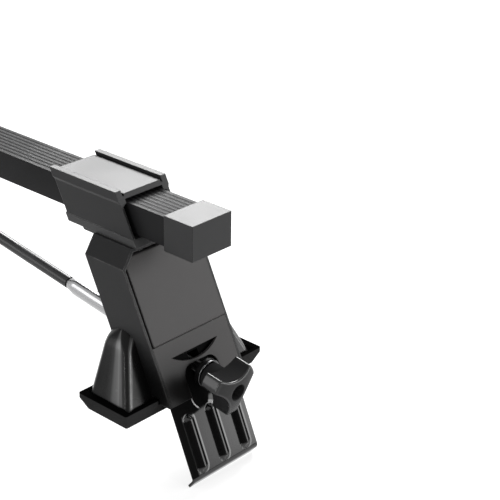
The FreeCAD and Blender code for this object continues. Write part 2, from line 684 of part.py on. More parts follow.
def trim_ends(body, front, length, low, high):
    """Cuts both ends to the tower's lean; front is the forward end at the bracket plate's top."""
    far = S["bracket_length"] * 2
    low, high = low - CUT_MARGIN, high + CUT_MARGIN
    front_low = front + S["bracket_lean"] * (PLATE_TOP - low)
    front_high = front + S["bracket_lean"] * (PLATE_TOP - high)
    ends = new_sketch(body, "ends", "XZ_Plane")
    polygon(ends, [(front_low, low), (front_low + far, low), (front_low + far, high), (front_high, high)])
    back_low, back_high = front_low - length, front_high - length
    polygon(ends, [(back_low, low), (back_high, high), (back_low - far, high), (back_low - far, low)])
    pocket(body, ends, S["lip_out"] * 4, symmetric=True)


def make_bar_cradle(side, turn):
    """U-shaped liner that holds the bar in the bracket."""
    body = new_body(f"bar_cradle_{side}")
    outside = S["bracket_leg_in"] - S["seat_gap"]
    inside = S["sheath_width"] / 2 + S["running_gap"]
    floor, bottom = -S["running_gap"], LEG_BOTTOM
    top = S["cradle_height"]
    end = S["bracket_front"] + S["bracket_lean"] * 8 - S["cradle_inset"]
    section = new_sketch(body, "section", "YZ_Plane", end)
    polygon(section, [(-outside, bottom), (outside, bottom), (outside, top), (inside, top),
                      (inside, floor), (-inside, floor), (-inside, top), (-outside, top)])
    pad(body, section, S["cradle_length"], backward=True)
    on_foot(body, turn)


def make_saddle(side, turn):
    """Lower clamp plate with a lug behind the tower."""
    body = new_body(f"saddle_{side}")
    top = LEG_BOTTOM - S["seat_gap"]
    half = S["bracket_leg_out"]
    edge = S["saddle_edge"]
    front_low = S["bracket_front"] + S["bracket_lean"] * (PLATE_TOP - SADDLE_BOTTOM)
    section = new_sketch(body, "section", "YZ_Plane", front_low)
    polygon(section, [(-half, SADDLE_BOTTOM), (half, SADDLE_BOTTOM), (half, top - edge),
                      (half - edge, top), (edge - half, top), (-half, top - edge)])
    pad(body, section, S["bracket_length"] + S["saddle_thickness"], backward=True)
    trim_ends(body, S["bracket_front"], S["bracket_length"] + S["saddle_tail"], SADDLE_BOTTOM, top)
    lug = new_sketch(body, "lug", "XZ_Plane")
    lug_bottom = SADDLE_BOTTOM - S["lug_thickness"]
    gap = S["seat_gap"]
    back = tower_front(SADDLE_BOTTOM) - S["tower_depth"] - gap
    back_low = tower_front(lug_bottom) - S["tower_depth"] - gap
    end = S["lug_end"]
    polygon(lug, [(back, SADDLE_BOTTOM), (back_low, lug_bottom),
                  (end + S["lug_thickness"], lug_bottom), (end, SADDLE_BOTTOM)])
    pad(body, lug, S["lug_half_width"] * 2, symmetric=True)
    holes = new_sketch(body, "holes", "XY_Plane", SADDLE_BOTTOM)
    for across, along in saddle_screw_places():
        circle(holes, along, across, S["saddle_screw_radius"] + S["seat_gap"])
    pocket(body, holes, S["saddle_thickness"], backward=True)
    on_foot(body, turn)


def saddle_screw_places():
    """(y, x) of the four saddle screws, as sizes."""
    places = []
    for across in (-1, 1):
        for along in (-1, 1):
            x = S["saddle_screw_x"] + S["saddle_screw_pitch_x"] * along / 2
            places.append((S["saddle_screw_pitch_y"] * across / 2, x))
    return places


def make_saddle_screws(side, turn):
    """Four screws up through the tower's top plate into the saddle."""
    screws = []
    seat = TOWER_TOP - S["tower_sheet"]
    for number, (across, along) in enumerate(saddle_screw_places(), start=1):
        point = V(along.value, across.value, seat.value)
        screws.append(screw(f"saddle_screw_{side}_{number}", point, V(0, 0, 1), S["saddle_screw_radius"],
                            S["saddle_screw_length"], S["saddle_head_radius"], S["saddle_head_height"]))
    on_foot(keep(group(f"saddle_screw_set_{side}", screws), f"saddle_screws_{side}"), turn)


def tower_outline():
    """Side view of the tower."""
    seat, cover, top = -S["seat_drop"], -S["cover_drop"], TOWER_TOP
    depth = S["tower_depth"]
    return [(tower_front(top), top), (tower_front(cover), cover), (S["seat_front"], cover),
            (S["seat_front"], seat), (tower_front(seat) - depth, seat), (tower_front(top) - depth, top)]


def bevel_shoulders(body, name, side, top, inward=0.0):
    """Cuts the two bevelled shoulders; inward moves the bevels toward the middle."""
    run = S["tower_half_width"] - S["shoulder_half_width"]
    slope = S["shoulder_drop"] / run
    flat = S["shoulder_half_width"] - as_size(inward) * root(slope * slope + 1) / slope
    reach = run + CUT_MARGIN * 2
    above = slope * CUT_MARGIN
    for way in (-1, 1):
        bevel = new_sketch(body, f"{name}_{way + 2}", side)
        polygon(bevel, [((flat - CUT_MARGIN) * way, top + above),
                        ((flat - CUT_MARGIN + reach * 2) * way, top + above),
                        ((flat - CUT_MARGIN + reach * 2) * way, top + above - slope * reach * 2)])
        pocket(body, bevel, S["bracket_length"] * 4, symmetric=True)


def make_tower(side, turn):
    """Leaning upright of folded sheet, open in front and below."""
    body = new_body(f"tower_{side}")
    outline = new_sketch(body, "outline", "XZ_Plane")
    polygon(outline, tower_outline())
    pad(body, outline, S["tower_half_width"] * 2, symmetric=True)
    bevel_shoulders(body, "shoulder", "YZ_Plane", TOWER_TOP)
    seat = -S["seat_drop"].value
    hollow(body, S["tower_sheet"], lambda normal, middle: normal.x > 0.2 or middle.z < seat + 0.5)
    holes = new_sketch(body, "holes", "XY_Plane", TOWER_TOP)
    for across, along in saddle_screw_places():
        circle(holes, along, across, S["saddle_screw_radius"] + S["seat_gap"])
    pocket(body, holes, S["tower_sheet"] + CUT_MARGIN)
    back = tower_front(-S["rod_drop"]) - S["tower_depth"]
    slot = new_sketch(body, "rod_slot", "YZ_Plane", back + S["base_rod_slot"])
    height = rod_height(back)
    upright_slot(slot, 0, height - 2, height + 2, S["base_rod_slot"] / 2)
    pocket(body, slot, S["base_rod_slot"] * 2)
    bolt = new_sketch(body, "base_screw_holes", "XZ_Plane")
    circle(bolt, S["base_screw_x"], -S["base_screw_drop"], S["base_screw_radius"] + S["seat_gap"])
    pocket(body, bolt, S["tower_half_width"] * 3, symmetric=True)
    on_foot(body, turn)


def make_front_panel(side, turn):
    """Tray-shaped panel that closes the tower's front above the joint."""
    body = new_body(f"front_panel_{side}")
    gap = S["tower_sheet"] + S["panel_gap"]
    top = TOWER_TOP - gap
    bottom = -S["split_drop"] + S["seat_gap"]
    depth = S["panel_depth"]
    outline = new_sketch(body, "outline", "XZ_Plane")
    polygon(outline, [(tower_front(top), top), (tower_front(bottom), bottom),
                      (tower_front(bottom) - depth, bottom), (tower_front(top) - depth, top)])
    pad(body, outline, (S["tower_half_width"] - gap) * 2, symmetric=True)
    bevel_shoulders(body, "shoulder", "YZ_Plane", TOWER_TOP, gap)
    hollow(body, S["panel_sheet"], lambda normal, middle: normal.x < -0.5)
    on_foot(body, turn)


def make_lower_cover(side, turn):
    """Tray-shaped cover below the joint, with a half-moon slot and an arch round the rod."""
    body = new_body(f"lower_cover_{side}")
    top, bottom = -S["split_drop"], -S["cover_drop"]
    depth = S["cover_depth"]
    outline = new_sketch(body, "outline", "XZ_Plane")
    polygon(outline, [(tower_front(top), top), (tower_front(bottom), bottom),
                      (tower_front(bottom) - depth, bottom), (tower_front(top) - depth, top)])
    pad(body, outline, (TOWER_INNER - S["seat_gap"]) * 2, symmetric=True)
    floor = bottom.value
    hollow(body, S["cover_sheet"], lambda normal, middle: normal.x < -0.5 or middle.z < floor + 0.5)
    moon = new_sketch(body, "moon", "YZ_Plane")
    half_moon(moon, top - S["moon_drop"], S["moon_chord"], S["moon_depth"])
    pocket(body, moon, S["tower_depth"], symmetric=True)
    half, corner = S["arch_half_width"], S["arch_corner"]
    spring = -S["arch_top_drop"] - corner
    crown = new_sketch(body, "arch_crown", "YZ_Plane")
    lying_slot(crown, spring, corner - half, half - corner, corner)
    pocket(body, crown, S["tower_depth"], symmetric=True)
    legs = new_sketch(body, "arch_legs", "YZ_Plane")
    rectangle(legs, -half, half, bottom - CUT_MARGIN, spring)
    pocket(body, legs, S["tower_depth"], symmetric=True)
    on_foot(body, turn)


def make_base(side, turn):
    """Tapered moulding that stands on the pad and holds the tower's lower end."""
    body = new_body(f"base_{side}")
    low = -S["base_bottom_drop"]
    high = low + S["base_height"]
    outline = new_sketch(body, "outline", "XZ_Plane")
    polygon(outline, [(S["base_back"], low), (base_front(low), low), (base_front(high), high),
                      (S["base_back"], high)])
    half = S["base_half_length"]
    pad(body, outline, half * 2, symmetric=True)
    ends = new_sketch(body, "ends", "YZ_Plane")
    slope = S["base_flare"]
    under, over = low - CUT_MARGIN, high + CUT_MARGIN
    for way in (-1, 1):
        foot_end, head_end = half + slope * CUT_MARGIN, half - slope * (over - low)
        polygon(ends, [(foot_end * way, under), (head_end * way, over), (foot_end * way, over)])
    pocket(body, ends, S["base_half_length"] * 2, symmetric=True)
    crown = high.value - 0.1
    round_edges(body, S["base_crown"], lambda a, b: a.z > crown and b.z > crown)
    round_edges(body, S["base_corner"], lambda a, b: abs(a.z - b.z) > 10)
    passage = new_sketch(body, "passage", "XZ_Plane")
    gap = S["seat_gap"]
    seat, top = -S["seat_drop"] - gap, high + CUT_MARGIN
    depth = S["tower_depth"] + gap
    polygon(passage, [(tower_front(top) - depth, top), (tower_front(seat) - depth, seat),
                      (S["base_front"] + CUT_MARGIN, seat), (S["base_front"] + CUT_MARGIN, top)])
    pocket(body, passage, (S["tower_half_width"] + gap) * 2, symmetric=True)
    slot = new_sketch(body, "rod_slot", "YZ_Plane", S["base_back"] - CUT_MARGIN)
    height = rod_height(S["base_back"])
    upright_slot(slot, 0, height - 2, height + 2, S["base_rod_slot"] / 2)
    pocket(body, slot, S["base_rod_slot"] * 2, backward=True)
    bolt = new_sketch(body, "screw_holes", "XZ_Plane")
    circle(bolt, S["base_screw_x"], -S["base_screw_drop"], S["base_screw_radius"] + gap)
    pocket(body, bolt, (TOWER_INNER + S["base_screw_length"] + 1) * 2, symmetric=True)
    on_foot(body, turn)


def make_base_screws(side, turn):
    """Two screws from inside the tower outward into the base's lobes."""
    screws = []
    for way in (-1, 1):
        point = V(S["base_screw_x"].value, way * TOWER_INNER.value, -S["base_screw_drop"].value)
        screws.append(screw(f"base_screw_{side}_{way + 2}", point, V(0, way, 0), S["base_screw_radius"],
                            S["base_screw_length"], S["base_head_radius"], S["base_head_height"]))
    on_foot(keep(group(f"base_screw_pair_{side}", screws), f"base_screws_{side}"), turn)


def make_pad(side, turn):
    """Rubber pad with a flared side, an upright rim band and a recess for the base."""
    body = new_body(f"pad_{side}")
    gap, wall, end_wall = S["seat_gap"] * 2, S["pad_rim_wall"], S["pad_end_wall"]
    floor = -S["base_bottom_drop"]
    back, front = S["base_back"] - gap - wall, S["base_front"] + gap + wall + 1
    half = S["base_half_length"] + gap + end_wall
    band_bottom = -S["pad_rim_drop"] - S["pad_rim_band"]
    taper = S["pad_taper"]
    sole = new_sketch(body, "sole", "XY_Plane", -S["pad_drop"])
    rectangle(sole, back + taper, front - taper, taper - half, half - taper)
    brim = new_sketch(body, "brim", "XY_Plane", band_bottom)
    rectangle(brim, back, front, -half, half)
    loft = body.newObject("PartDesign::AdditiveLoft", f"{body.Label}_loft")
    loft.Profile = sole
    loft.Sections = [brim]
    band = new_sketch(body, "band", "XY_Plane", band_bottom)
    rectangle(band, back, front, -half, half)
    pad(body, band, S["pad_rim_band"])
    round_edges(body, S["pad_corner"], lambda a, b: abs(a.z - b.z) > 2)
    recess = new_sketch(body, "recess", "XY_Plane", floor)
    rectangle(recess, back + wall, front - wall, end_wall - half, half - end_wall)
    pocket(body, recess, S["base_height"], backward=True)
    notch = new_sketch(body, "notch", "XY_Plane", floor)
    clear = S["pad_notch_half_width"]
    rectangle(notch, S["base_front"] - wall, front + CUT_MARGIN, -clear, clear)
    pocket(body, notch, S["base_height"], backward=True)
    on_foot(body, turn)


def make_hook_plate(side, turn):
    """Pressed plate with a rolled eye, three beads, a slot for the rod and a folded lip.

    Drawn about its pivot: x is square to the plate, outward, and the plate hangs along -z."""
    body = new_body(f"hook_plate_{side}")
    front, sheet_size = S["eye_radius"], S["hook_sheet"]
    back = front - sheet_size
    length, lip = S["hook_length"], S["lip_length"]
    sine, cosine = math.sin(lip_turn), math.cos(lip_turn)
    mitre = math.tan(lip_turn / 2)
    outline = new_sketch(body, "outline", "XZ_Plane")
    polygon(outline, [(front, 0), (front, -length), (front - lip * sine, -length - lip * cosine),
                      (front - lip * sine - sheet_size * cosine, -length - lip * cosine + sheet_size * sine),
                      (back, -length + sheet_size * mitre), (back, 0)])
    pad(body, outline, S["hook_half_width"] * 2, symmetric=True)
    fold = -(length.value)
    inner_fold = fold + sheet_size.value * mitre
    round_edges(body, S["fold_radius"] + sheet_size, lambda a, b: near(a.z, fold) and near(b.z, fold))
    round_edges(body, S["fold_radius"], lambda a, b: near(a.z, inner_fold) and near(b.z, inner_fold))
    eye = new_sketch(body, "eye", "XZ_Plane")
    circle(eye, 0, 0, S["eye_radius"])
    pad(body, eye, S["hook_half_width"] * 2, symmetric=True)
    bore = new_sketch(body, "bore", "XZ_Plane")
    circle(bore, 0, 0, S["pin_radius"] + S["running_gap"])
    pocket(body, bore, S["hook_half_width"] * 3, symmetric=True)
    slot = new_sketch(body, "rod_slot", "YZ_Plane")
    crossing, reach = -rod_crossing(), (S["rod_slot_length"] / 2 - S["rod_slot_half_width"])
    upright_slot(slot, 0, crossing - reach, crossing + reach, S["rod_slot_half_width"])
    pocket(body, slot, S["eye_radius"] * 2, backward=True)
    half = S["bead_width"] / 2
    first = -(S["bead_pitch"] * (S["bead_count"] - 1)) / 2
    bead = new_sketch(body, "bead", "YZ_Plane", back + sheet_size / 2)
    upright_slot(bead, first, half - S["bead_bottom"], -S["bead_top"] - half, half)
    raised = pad(body, bead, S["bead_height"] + sheet_size / 2)
    hollow_bead = new_sketch(body, "bead_back", "YZ_Plane", back)
    wall = sheet_size * 0.8
    upright_slot(hollow_bead, first, half - S["bead_bottom"], -S["bead_top"] - half, half - wall)
    pressed = pocket(body, hollow_bead, S["bead_height"], backward=True)
    row_of(body, [raised, pressed], "Y_Axis", S["bead_pitch"] * (S["bead_count"] - 1), S["bead_count"])
    crest = (front + S["bead_height"]).value
    round_edges(body, S["bead_height"] * 0.6, lambda a, b: near(a.x, crest) and near(b.x, crest))
    on_foot(body, turn, pivot, -hook_lean)


def near(one, two):
    """True where two lengths are the same to a hundredth."""
    return abs(one - two) < 0.01


def rod_crossing():
    """Distance from the pivot down to where the rod's axis crosses the hook plate's front."""
    from_pivot = washer_point - pivot
    along = (S["eye_radius"].value - from_pivot.dot(hook_x_axis)) / rod_axis.dot(hook_x_axis)
    return as_size(-(from_pivot + rod_axis * along).dot(hook_z_axis))


def make_hook_pin(side, turn):
    """Pin across the tower that the hook plate swings on."""
    start = V(0, -TOWER_INNER.value, 0)
    pin = cylinder(f"hook_pin_{side}_rod", S["pin_radius"], TOWER_INNER * 2, start, V(0, 1, 0))
    on_foot(keep(group(f"hook_pin_{side}", [pin]), f"hook_pin_{side}"), turn, pivot)


def make_tension_rod(side, turn):
    """Steel rod with a thread outside and an eye at its inner end. Drawn from the washer, outward."""
    inward = rod_span()
    reach = S["washer_thickness"] + S["knob_length"] - S["rod_end_depth"]
    blank_end = reach.value - S["thread_length"].value
    blank = cylinder(f"rod_blank_{side}", S["rod_radius"], inward + reach - S["thread_length"] + 1,
                     V(0, 0, -inward.value))
    thread = cylinder(f"rod_thread_{side}", S["thread_radius"], S["thread_length"], V(0, 0, blank_end))
    width = S["rod_eye_width"]
    eye = cylinder(f"rod_eye_{side}", S["rod_eye_radius"], width,
                   V(0, -width.value / 2, -inward.value), V(0, 1, 0))
    bore = cylinder(f"rod_bore_{side}", S["rod_pin_radius"] + S["running_gap"], width * 2,
                    V(0, -width.value, -inward.value), V(0, 1, 0))
    rod = cut(f"rod_{side}", fuse(f"rod_body_{side}", [blank, thread, eye]), bore)
    on_foot(keep(rod, f"tension_rod_{side}"), turn, washer_point, 90.0 + rod_tilt)


def rod_span():
    """Length of the rod from the washer's back to the pin through its eye."""
    return rod_run * root(rod_fall * rod_fall + 1)


def make_rod_sleeve(side, turn):
    """Plastic tube over the inner part of the rod."""
    stretch = root(rod_fall * rod_fall + 1)
    outer_end = (S["washer_x"] - S["sleeve_end_x"]) * stretch
    length = rod_span() - S["sleeve_start"] - outer_end
    start = V(0, 0, -(outer_end + length).value)
    tube = cylinder(f"sleeve_tube_{side}", S["sleeve_radius"], length, start)
    bore = cylinder(f"sleeve_bore_{side}", S["rod_radius"] + S["sleeve_gap"], length + CUT_MARGIN,
                    start - V(0, 0, CUT_MARGIN / 2))
    sleeve = keep(cut(f"sleeve_{side}", tube, bore), f"rod_sleeve_{side}")
    on_foot(sleeve, turn, washer_point, 90.0 + rod_tilt)


def make_rod_pin(side, turn):
    """Pin through the rod's eye that hangs in the centre anchor's slots."""
    length = S["anchor_width"] + 2
    start = V(0, -length.value / 2, 0)
    pin = cylinder(f"rod_pin_{side}_shank", S["rod_pin_radius"], length, start, V(0, 1, 0))
    point = V((S["washer_x"] - rod_run).value, 0, -S["anchor_pin_drop"].value)
    on_foot(keep(group(f"rod_pin_{side}", [pin]), f"rod_pin_{side}"), turn, point)


def make_thrust_seat(side, turn):
    """Half ball behind the washer that bears on the hook plate round its slot."""
    ball = document.addObject("Part::Sphere", f"seat_ball_{side}")
    bind(ball, "Radius", S["seat_radius"])
    ball.Angle1, ball.Angle2 = -90, 0
    bore = cylinder(f"seat_bore_{side}", S["thread_radius"] + S["running_gap"], S["seat_radius"] * 3,
                    V(0, 0, -S["seat_radius"].value * 2))
    rim = cylinder(f"seat_rim_{side}", S["washer_radius"], S["seat_rim"], V(0, 0, -S["seat_rim"].value))
    seat = cut(f"seat_{side}", fuse(f"seat_body_{side}", [ball, rim]), bore)
    on_foot(keep(seat, f"thrust_seat_{side}"), turn, washer_point, 90.0 + rod_tilt)


def make_washer(side, turn):
    """Flat steel washer between the thrust seat and the knob."""
    disc = cylinder(f"washer_disc_{side}", S["washer_radius"], S["washer_thickness"])
    bore = cylinder(f"washer_bore_{side}", S["thread_radius"] + S["running_gap"], S["washer_thickness"] * 3,
                    V(0, 0, -S["washer_thickness"].value))
    washer = keep(cut(f"washer_cut_{side}", disc, bore), f"washer_{side}")
    on_foot(washer, turn, washer_point, 90.0 + rod_tilt)


def make_knob(side, turn):
    """Three-lobed hand knob: a turned disc with a domed face and three hollows, on a round hub."""
    body = new_body(f"knob_{side}")
    neck = S["knob_length"] - S["knob_head"]
    disc = new_sketch(body, "disc", "XZ_Plane")
    domed_half(disc, neck, S["knob_length"], S["knob_radius"])
    turned = body.newObject("PartDesign::Revolution", f"{body.Label}_turned")
    turned.Profile = disc
    turned.ReferenceAxis = (disc, ["V_Axis"])
    turned.Angle = 360
    hollow_sketch = new_sketch(body, "scallop", "XY_Plane", neck)
    circle(hollow_sketch, -S["scallop_up"], -S["scallop_aside"], S["scallop_radius"])
    scallop = pocket(body, hollow_sketch, S["knob_head"] + CUT_MARGIN, backward=True)
    ring_of(body, [scallop], S["knob_lobes"])
    back, rim = neck.value, (S["knob_length"] - S["knob_fall"]).value - 0.1
    round_edges(body, S["lobe_round"], lambda a, b: abs(a.z - b.z) > 5)
    round_edges(body, S["knob_edge"], lambda a, b: near(a.z, back) and near(b.z, back))
    round_edges(body, S["knob_edge"], lambda a, b: a.z > rim and b.z > rim)
    hub = new_sketch(body, "hub", "XY_Plane")
    circle(hub, 0, 0, S["hub_radius"])
    pad(body, hub, neck + 1)
    socket = new_sketch(body, "socket", "XY_Plane", S["knob_length"])
    circle(socket, 0, 0, S["socket_radius"])
    insert_end = S["insert_setback"] + S["insert_length"]
    pocket(body, socket, S["knob_length"] - insert_end)
    seat = new_sketch(body, "insert_seat", "XY_Plane", insert_end)
    circle(seat, 0, 0, S["insert_radius"] + S["seat_gap"])
    pocket(body, seat, S["insert_length"])
    entry = new_sketch(body, "entry", "XY_Plane", S["insert_setback"])
    circle(entry, 0, 0, S["thread_radius"] + S["seat_gap"] * 3)
    pocket(body, entry, S["insert_setback"] + CUT_MARGIN)
    on_foot(body, turn, washer_point + rod_axis * S["washer_thickness"].value, 90.0 + rod_tilt)


def domed_half(sketch, low, high, radius):
    """Half section of a disc whose upper face falls away in an arc from a flat middle to its rim."""
    flat, rim, dome = S["knob_flat"], high - S["knob_fall"], S["knob_dome"]
    corners = [(as_size(0), high), (as_size(0), low), (radius, low), (radius, rim), (flat, high)]
    points = [V(across.value, up.value, 0) for across, up in corners]
    for start, end in zip(points[:3], points[1:4]):
        sketch.addGeometry(Part.LineSegment(start, end), False)
    middle = arc_centre(points[3], points[4], dome.value)
    angles = [math.atan2(point.y - middle.y, point.x - middle.x) for point in (points[3], points[4])]
    arc = Part.ArcOfCircle(Part.Circle(middle, V(0, 0, 1), dome.value), *angles)
    sketch.addGeometry(arc, False)
    sketch.addGeometry(Part.LineSegment(points[4], points[0]), False)
    for index in range(5):
        sketch.addConstraint(Sketcher.Constraint("Coincident", index, 2, (index + 1) % 5, 1))
        pin_point(sketch, index, 1, *corners[index])
    number = sketch.addConstraint(Sketcher.Constraint("Radius", 3, dome.value))
    sketch.setExpression(f"Constraints[{number}]", dome.text)


def arc_centre(start, end, radius):
    """Centre, on the left of the way from start to end, of an arc through both."""
    chord = end - start
    rise = math.sqrt(radius ** 2 - (chord.Length / 2) ** 2)
    left = V(-chord.y, chord.x, 0) * (1 / chord.Length)
    return (start + end) * 0.5 + left * rise


def make_knob_insert(side, turn):
    """Threaded steel insert moulded into the knob."""
    setback = V(0, 0, S["insert_setback"].value)
    barrel = cylinder(f"insert_barrel_{side}", S["insert_radius"], S["insert_length"], setback)
    bore = cylinder(f"insert_bore_{side}", S["thread_radius"] + S["running_gap"] / 2,
                    S["insert_length"] * 3, setback - V(0, 0, S["insert_length"].value))
    insert = keep(cut(f"insert_{side}", barrel, bore), f"knob_insert_{side}")
    on_foot(insert, turn, washer_point + rod_axis * S["washer_thickness"].value, 90.0 + rod_tilt)


make_bar_tube()
make_bar_sheath()
make_centre_anchor()
make_anchor_screws()
FOOT_PIECES = (make_end_cap, make_bracket, make_bar_cradle, make_saddle, make_saddle_screws, make_tower,
               make_front_panel, make_lower_cover, make_base, make_base_screws, make_pad, make_hook_plate,
               make_hook_pin, make_tension_rod, make_rod_sleeve, make_rod_pin, make_thrust_seat,
               make_washer, make_knob, make_knob_insert)
for side, turn in SIDES:
    for make_piece in FOOT_PIECES:
        make_piece(side, turn)
for body in nodes[:2]:
    bore_bar(body)
document.recompute()

broken = [item.Label for item in document.Objects if {"Invalid", "Error"} & set(item.State)]
if broken:
    raise RuntimeError(f"did not compute: {broken}")
wrong = [node.Label for node in nodes if node.Shape.isNull() or not node.Shape.isValid()]
if wrong:
    raise RuntimeError(f"no valid shape: {wrong}")

os.makedirs("parts", exist_ok=True)
for node in nodes:
    node.Shape.exportStep(f"parts/{node.Label}.step")
    box = node.Shape.BoundBox
    print(f"{node.Label}: {len(node.Shape.Solids)} solid, {node.Shape.Volume / 1000:.2f} cm3, "
          f"x {box.XMin:.1f} {box.XMax:.1f} y {box.YMin:.1f} {box.YMax:.1f} z {box.ZMin:.1f} {box.ZMax:.1f}")
print(f"foot_x {foot_x:.3f}  ride_height {ride_height:.3f}")
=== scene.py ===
import json
import math

import bmesh
import bpy
import numpy as np
from bpy.props import FloatProperty, FloatVectorProperty, PointerProperty
from bpy.types import Operator, Panel, PropertyGroup
from mathutils import Matrix, Vector


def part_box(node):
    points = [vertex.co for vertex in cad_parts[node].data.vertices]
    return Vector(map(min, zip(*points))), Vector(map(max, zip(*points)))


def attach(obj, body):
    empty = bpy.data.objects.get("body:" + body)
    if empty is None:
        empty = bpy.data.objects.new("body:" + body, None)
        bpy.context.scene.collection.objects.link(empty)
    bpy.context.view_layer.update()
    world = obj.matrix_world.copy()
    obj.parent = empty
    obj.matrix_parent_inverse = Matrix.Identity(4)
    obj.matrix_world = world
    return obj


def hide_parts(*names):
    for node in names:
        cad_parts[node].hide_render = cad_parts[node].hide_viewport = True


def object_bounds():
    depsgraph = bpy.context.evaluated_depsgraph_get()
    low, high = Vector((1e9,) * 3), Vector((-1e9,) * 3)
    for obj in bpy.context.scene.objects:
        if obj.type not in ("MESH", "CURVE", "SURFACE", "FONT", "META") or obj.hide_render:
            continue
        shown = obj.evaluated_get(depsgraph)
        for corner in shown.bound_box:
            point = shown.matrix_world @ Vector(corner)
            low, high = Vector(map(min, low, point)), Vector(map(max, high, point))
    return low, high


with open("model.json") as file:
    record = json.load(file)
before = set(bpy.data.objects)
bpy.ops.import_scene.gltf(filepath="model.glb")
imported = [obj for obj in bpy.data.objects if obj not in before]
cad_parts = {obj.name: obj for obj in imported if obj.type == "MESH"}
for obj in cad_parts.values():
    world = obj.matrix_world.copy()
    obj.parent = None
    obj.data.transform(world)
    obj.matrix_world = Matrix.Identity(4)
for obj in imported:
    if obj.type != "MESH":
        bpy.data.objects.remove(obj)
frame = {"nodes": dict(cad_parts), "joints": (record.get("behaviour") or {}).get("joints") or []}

bl_info = {
    "name": "Roof rack crossbar",
    "version": (1, 0, 0),
    "blender": (4, 5, 0),
    "location": "View3D > Sidebar > Crossbar",
    "description": "Shapes and dresses a packed roof rack crossbar and lights it for a picture",
    "category": "Object",
}

CAD_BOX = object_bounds()
SIDES = ("right", "left")

# Camera: the row frame's axes as the picture sees them, the place of the lens and its length
PICTURE_PIXELS = 500
FOCAL_PIXELS = 1452.1
VIEW_RIGHT = Vector((0.73928, 0.67324, 0.01469))
VIEW_UP = Vector((-0.29682, 0.30620, 0.90451))
VIEW_PLACE = Vector((1.1822, -0.6118, 0.5609))
SENSOR = 36.0


# Places on the right foot. Shapes are worked out in millimetres, x from the foot's own zero outward along the
# bar, y across it and z up from the bar's underside.
FOOT_SETBACK = 19.0
FOOT_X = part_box("end_cap_right")[1].x * 1000 - FOOT_SETBACK
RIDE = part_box("bar_sheath")[0].z * 1000


def joint_facts(name):
    """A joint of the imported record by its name."""
    return next(joint for joint in frame["joints"] if joint["name"] == name)


def foot_point(place):
    """A point of the row frame in metres, in the right foot's millimetres."""
    return np.array(place) * 1000 - (FOOT_X, 0.0, RIDE)


KNOB_JOINT = joint_facts("knob_turn_right")
WASHER_POINT = foot_point(KNOB_JOINT["pos_m"])
ROD_AXIS = -np.array(KNOB_JOINT["axis"], dtype=float)
PIVOT = foot_point(joint_facts("hook_swing_right")["pos_m"])
ROD_UP = np.array((-ROD_AXIS[2], 0.0, ROD_AXIS[0]))
ACROSS = np.array((0.0, 1.0, 0.0))


# ---------------------------------------------------------------- properties

def size_property(name, words, default, least=0.0):
    """A size that a user may change."""
    return FloatProperty(name=name, description=words, default=default, min=least, unit="LENGTH")


def colour_property(name, words, default):
    """A colour that a user may change."""
    return FloatVectorProperty(name=name, description=words, default=default, min=0.0, max=1.0, size=3,
                               subtype="COLOR")


def lamp_property(name, words, default):
    """A lamp's power that a user may change."""
    return FloatProperty(name=name, description=words, default=default, min=0.0, unit="POWER")


class CrossbarSizes(PropertyGroup):
    """Sizes of the fine shapes"""
    rib_depth: size_property("Rib depth", "Depth of the waves along the sheath's top", 0.0004)
    knob_edge: size_property("Knob edge", "Rounding of the knob's front rim", 0.0012, 0.0002)
    bead_height: size_property("Bead height", "Height of the beads pressed in the hook plate", 0.0032)
    thread_pitch: size_property("Thread pitch", "Rise of the rod's thread in one turn", 0.00125, 0.0005)
    crown: size_property("Base crown", "Rounding of the base's top at its two ends", 0.012, 0.002)


class CrossbarColours(PropertyGroup):
    """Colours of the finishes"""
    sheath: colour_property("Sheath", "Moulded sheath on the bar", (0.012, 0.012, 0.0125))
    cap: colour_property("End cap", "Moulded end caps", (0.018, 0.018, 0.0185))
    bracket: colour_property("Bracket", "Paint of the brackets and saddles", (0.014, 0.014, 0.0145))
    tower: colour_property("Tower", "Paint of the towers", (0.0205, 0.0205, 0.021))
    panel: colour_property("Panel", "Paint of the panels and covers", (0.0365, 0.0348, 0.0346))
    base: colour_property("Base", "Moulded bases", (0.004, 0.004, 0.004))
    pad: colour_property("Pad", "Rubber pads", (0.02, 0.02, 0.02))
    hook: colour_property("Hook plate", "Gloss paint of the hook plates", (0.005, 0.005, 0.005))
    knob: colour_property("Knob", "Moulded knobs", (0.017, 0.017, 0.0173))
    rod: colour_property("Rod", "Bright plating of the rods", (0.33, 0.33, 0.335))


class CrossbarLight(PropertyGroup):
    """Lamps and background"""
    back: lamp_property("Back lamp", "Lamp behind that lights the tops", 118.0)
    right: lamp_property("Right lamp", "Lamp at the right that lights the fronts", 36.0)
    left: lamp_property("Left lamp", "Lamp at the left that lights the sides", 18.0)
    strips: lamp_property("Strip lamps", "Two narrow lamps that line the edges", 14.0)
    world: FloatProperty(name="World", description="Level of the light from all round", default=0.3,
                         min=0.0, max=1.0, subtype="FACTOR")


PROPERTY_GROUPS = {"crossbar_sizes": CrossbarSizes, "crossbar_colours": CrossbarColours,
                   "crossbar_light": CrossbarLight}


def sizes():
    """The sizes that the scene holds."""
    return bpy.context.scene.crossbar_sizes


def colours():
    """The colours that the scene holds."""
    return bpy.context.scene.crossbar_colours


# ---------------------------------------------------------------- surfaces

def grid_faces(rows, columns, wrap_rows=False, wrap_columns=True, keep=None):
    """Corner numbers of a grid's quads: (i, j), (i, j+1), (i+1, j+1), (i+1, j), the last row or column joined
    to the first where it wraps. keep is a mask of the quads that stay."""
    last_row, last_column = rows - (not wrap_rows), columns - (not wrap_columns)
    row, column = np.meshgrid(np.arange(last_row), np.arange(last_column), indexing="ij")
    if keep is not None:
        row, column = row[keep], column[keep]
    row, column = row.ravel(), column.ravel()
    next_row, next_column = (row + 1) % rows, (column + 1) % columns
    corners = (row * columns + column, row * columns + next_column,
               next_row * columns + next_column, next_row * columns + column)
    return np.stack(corners, axis=-1)


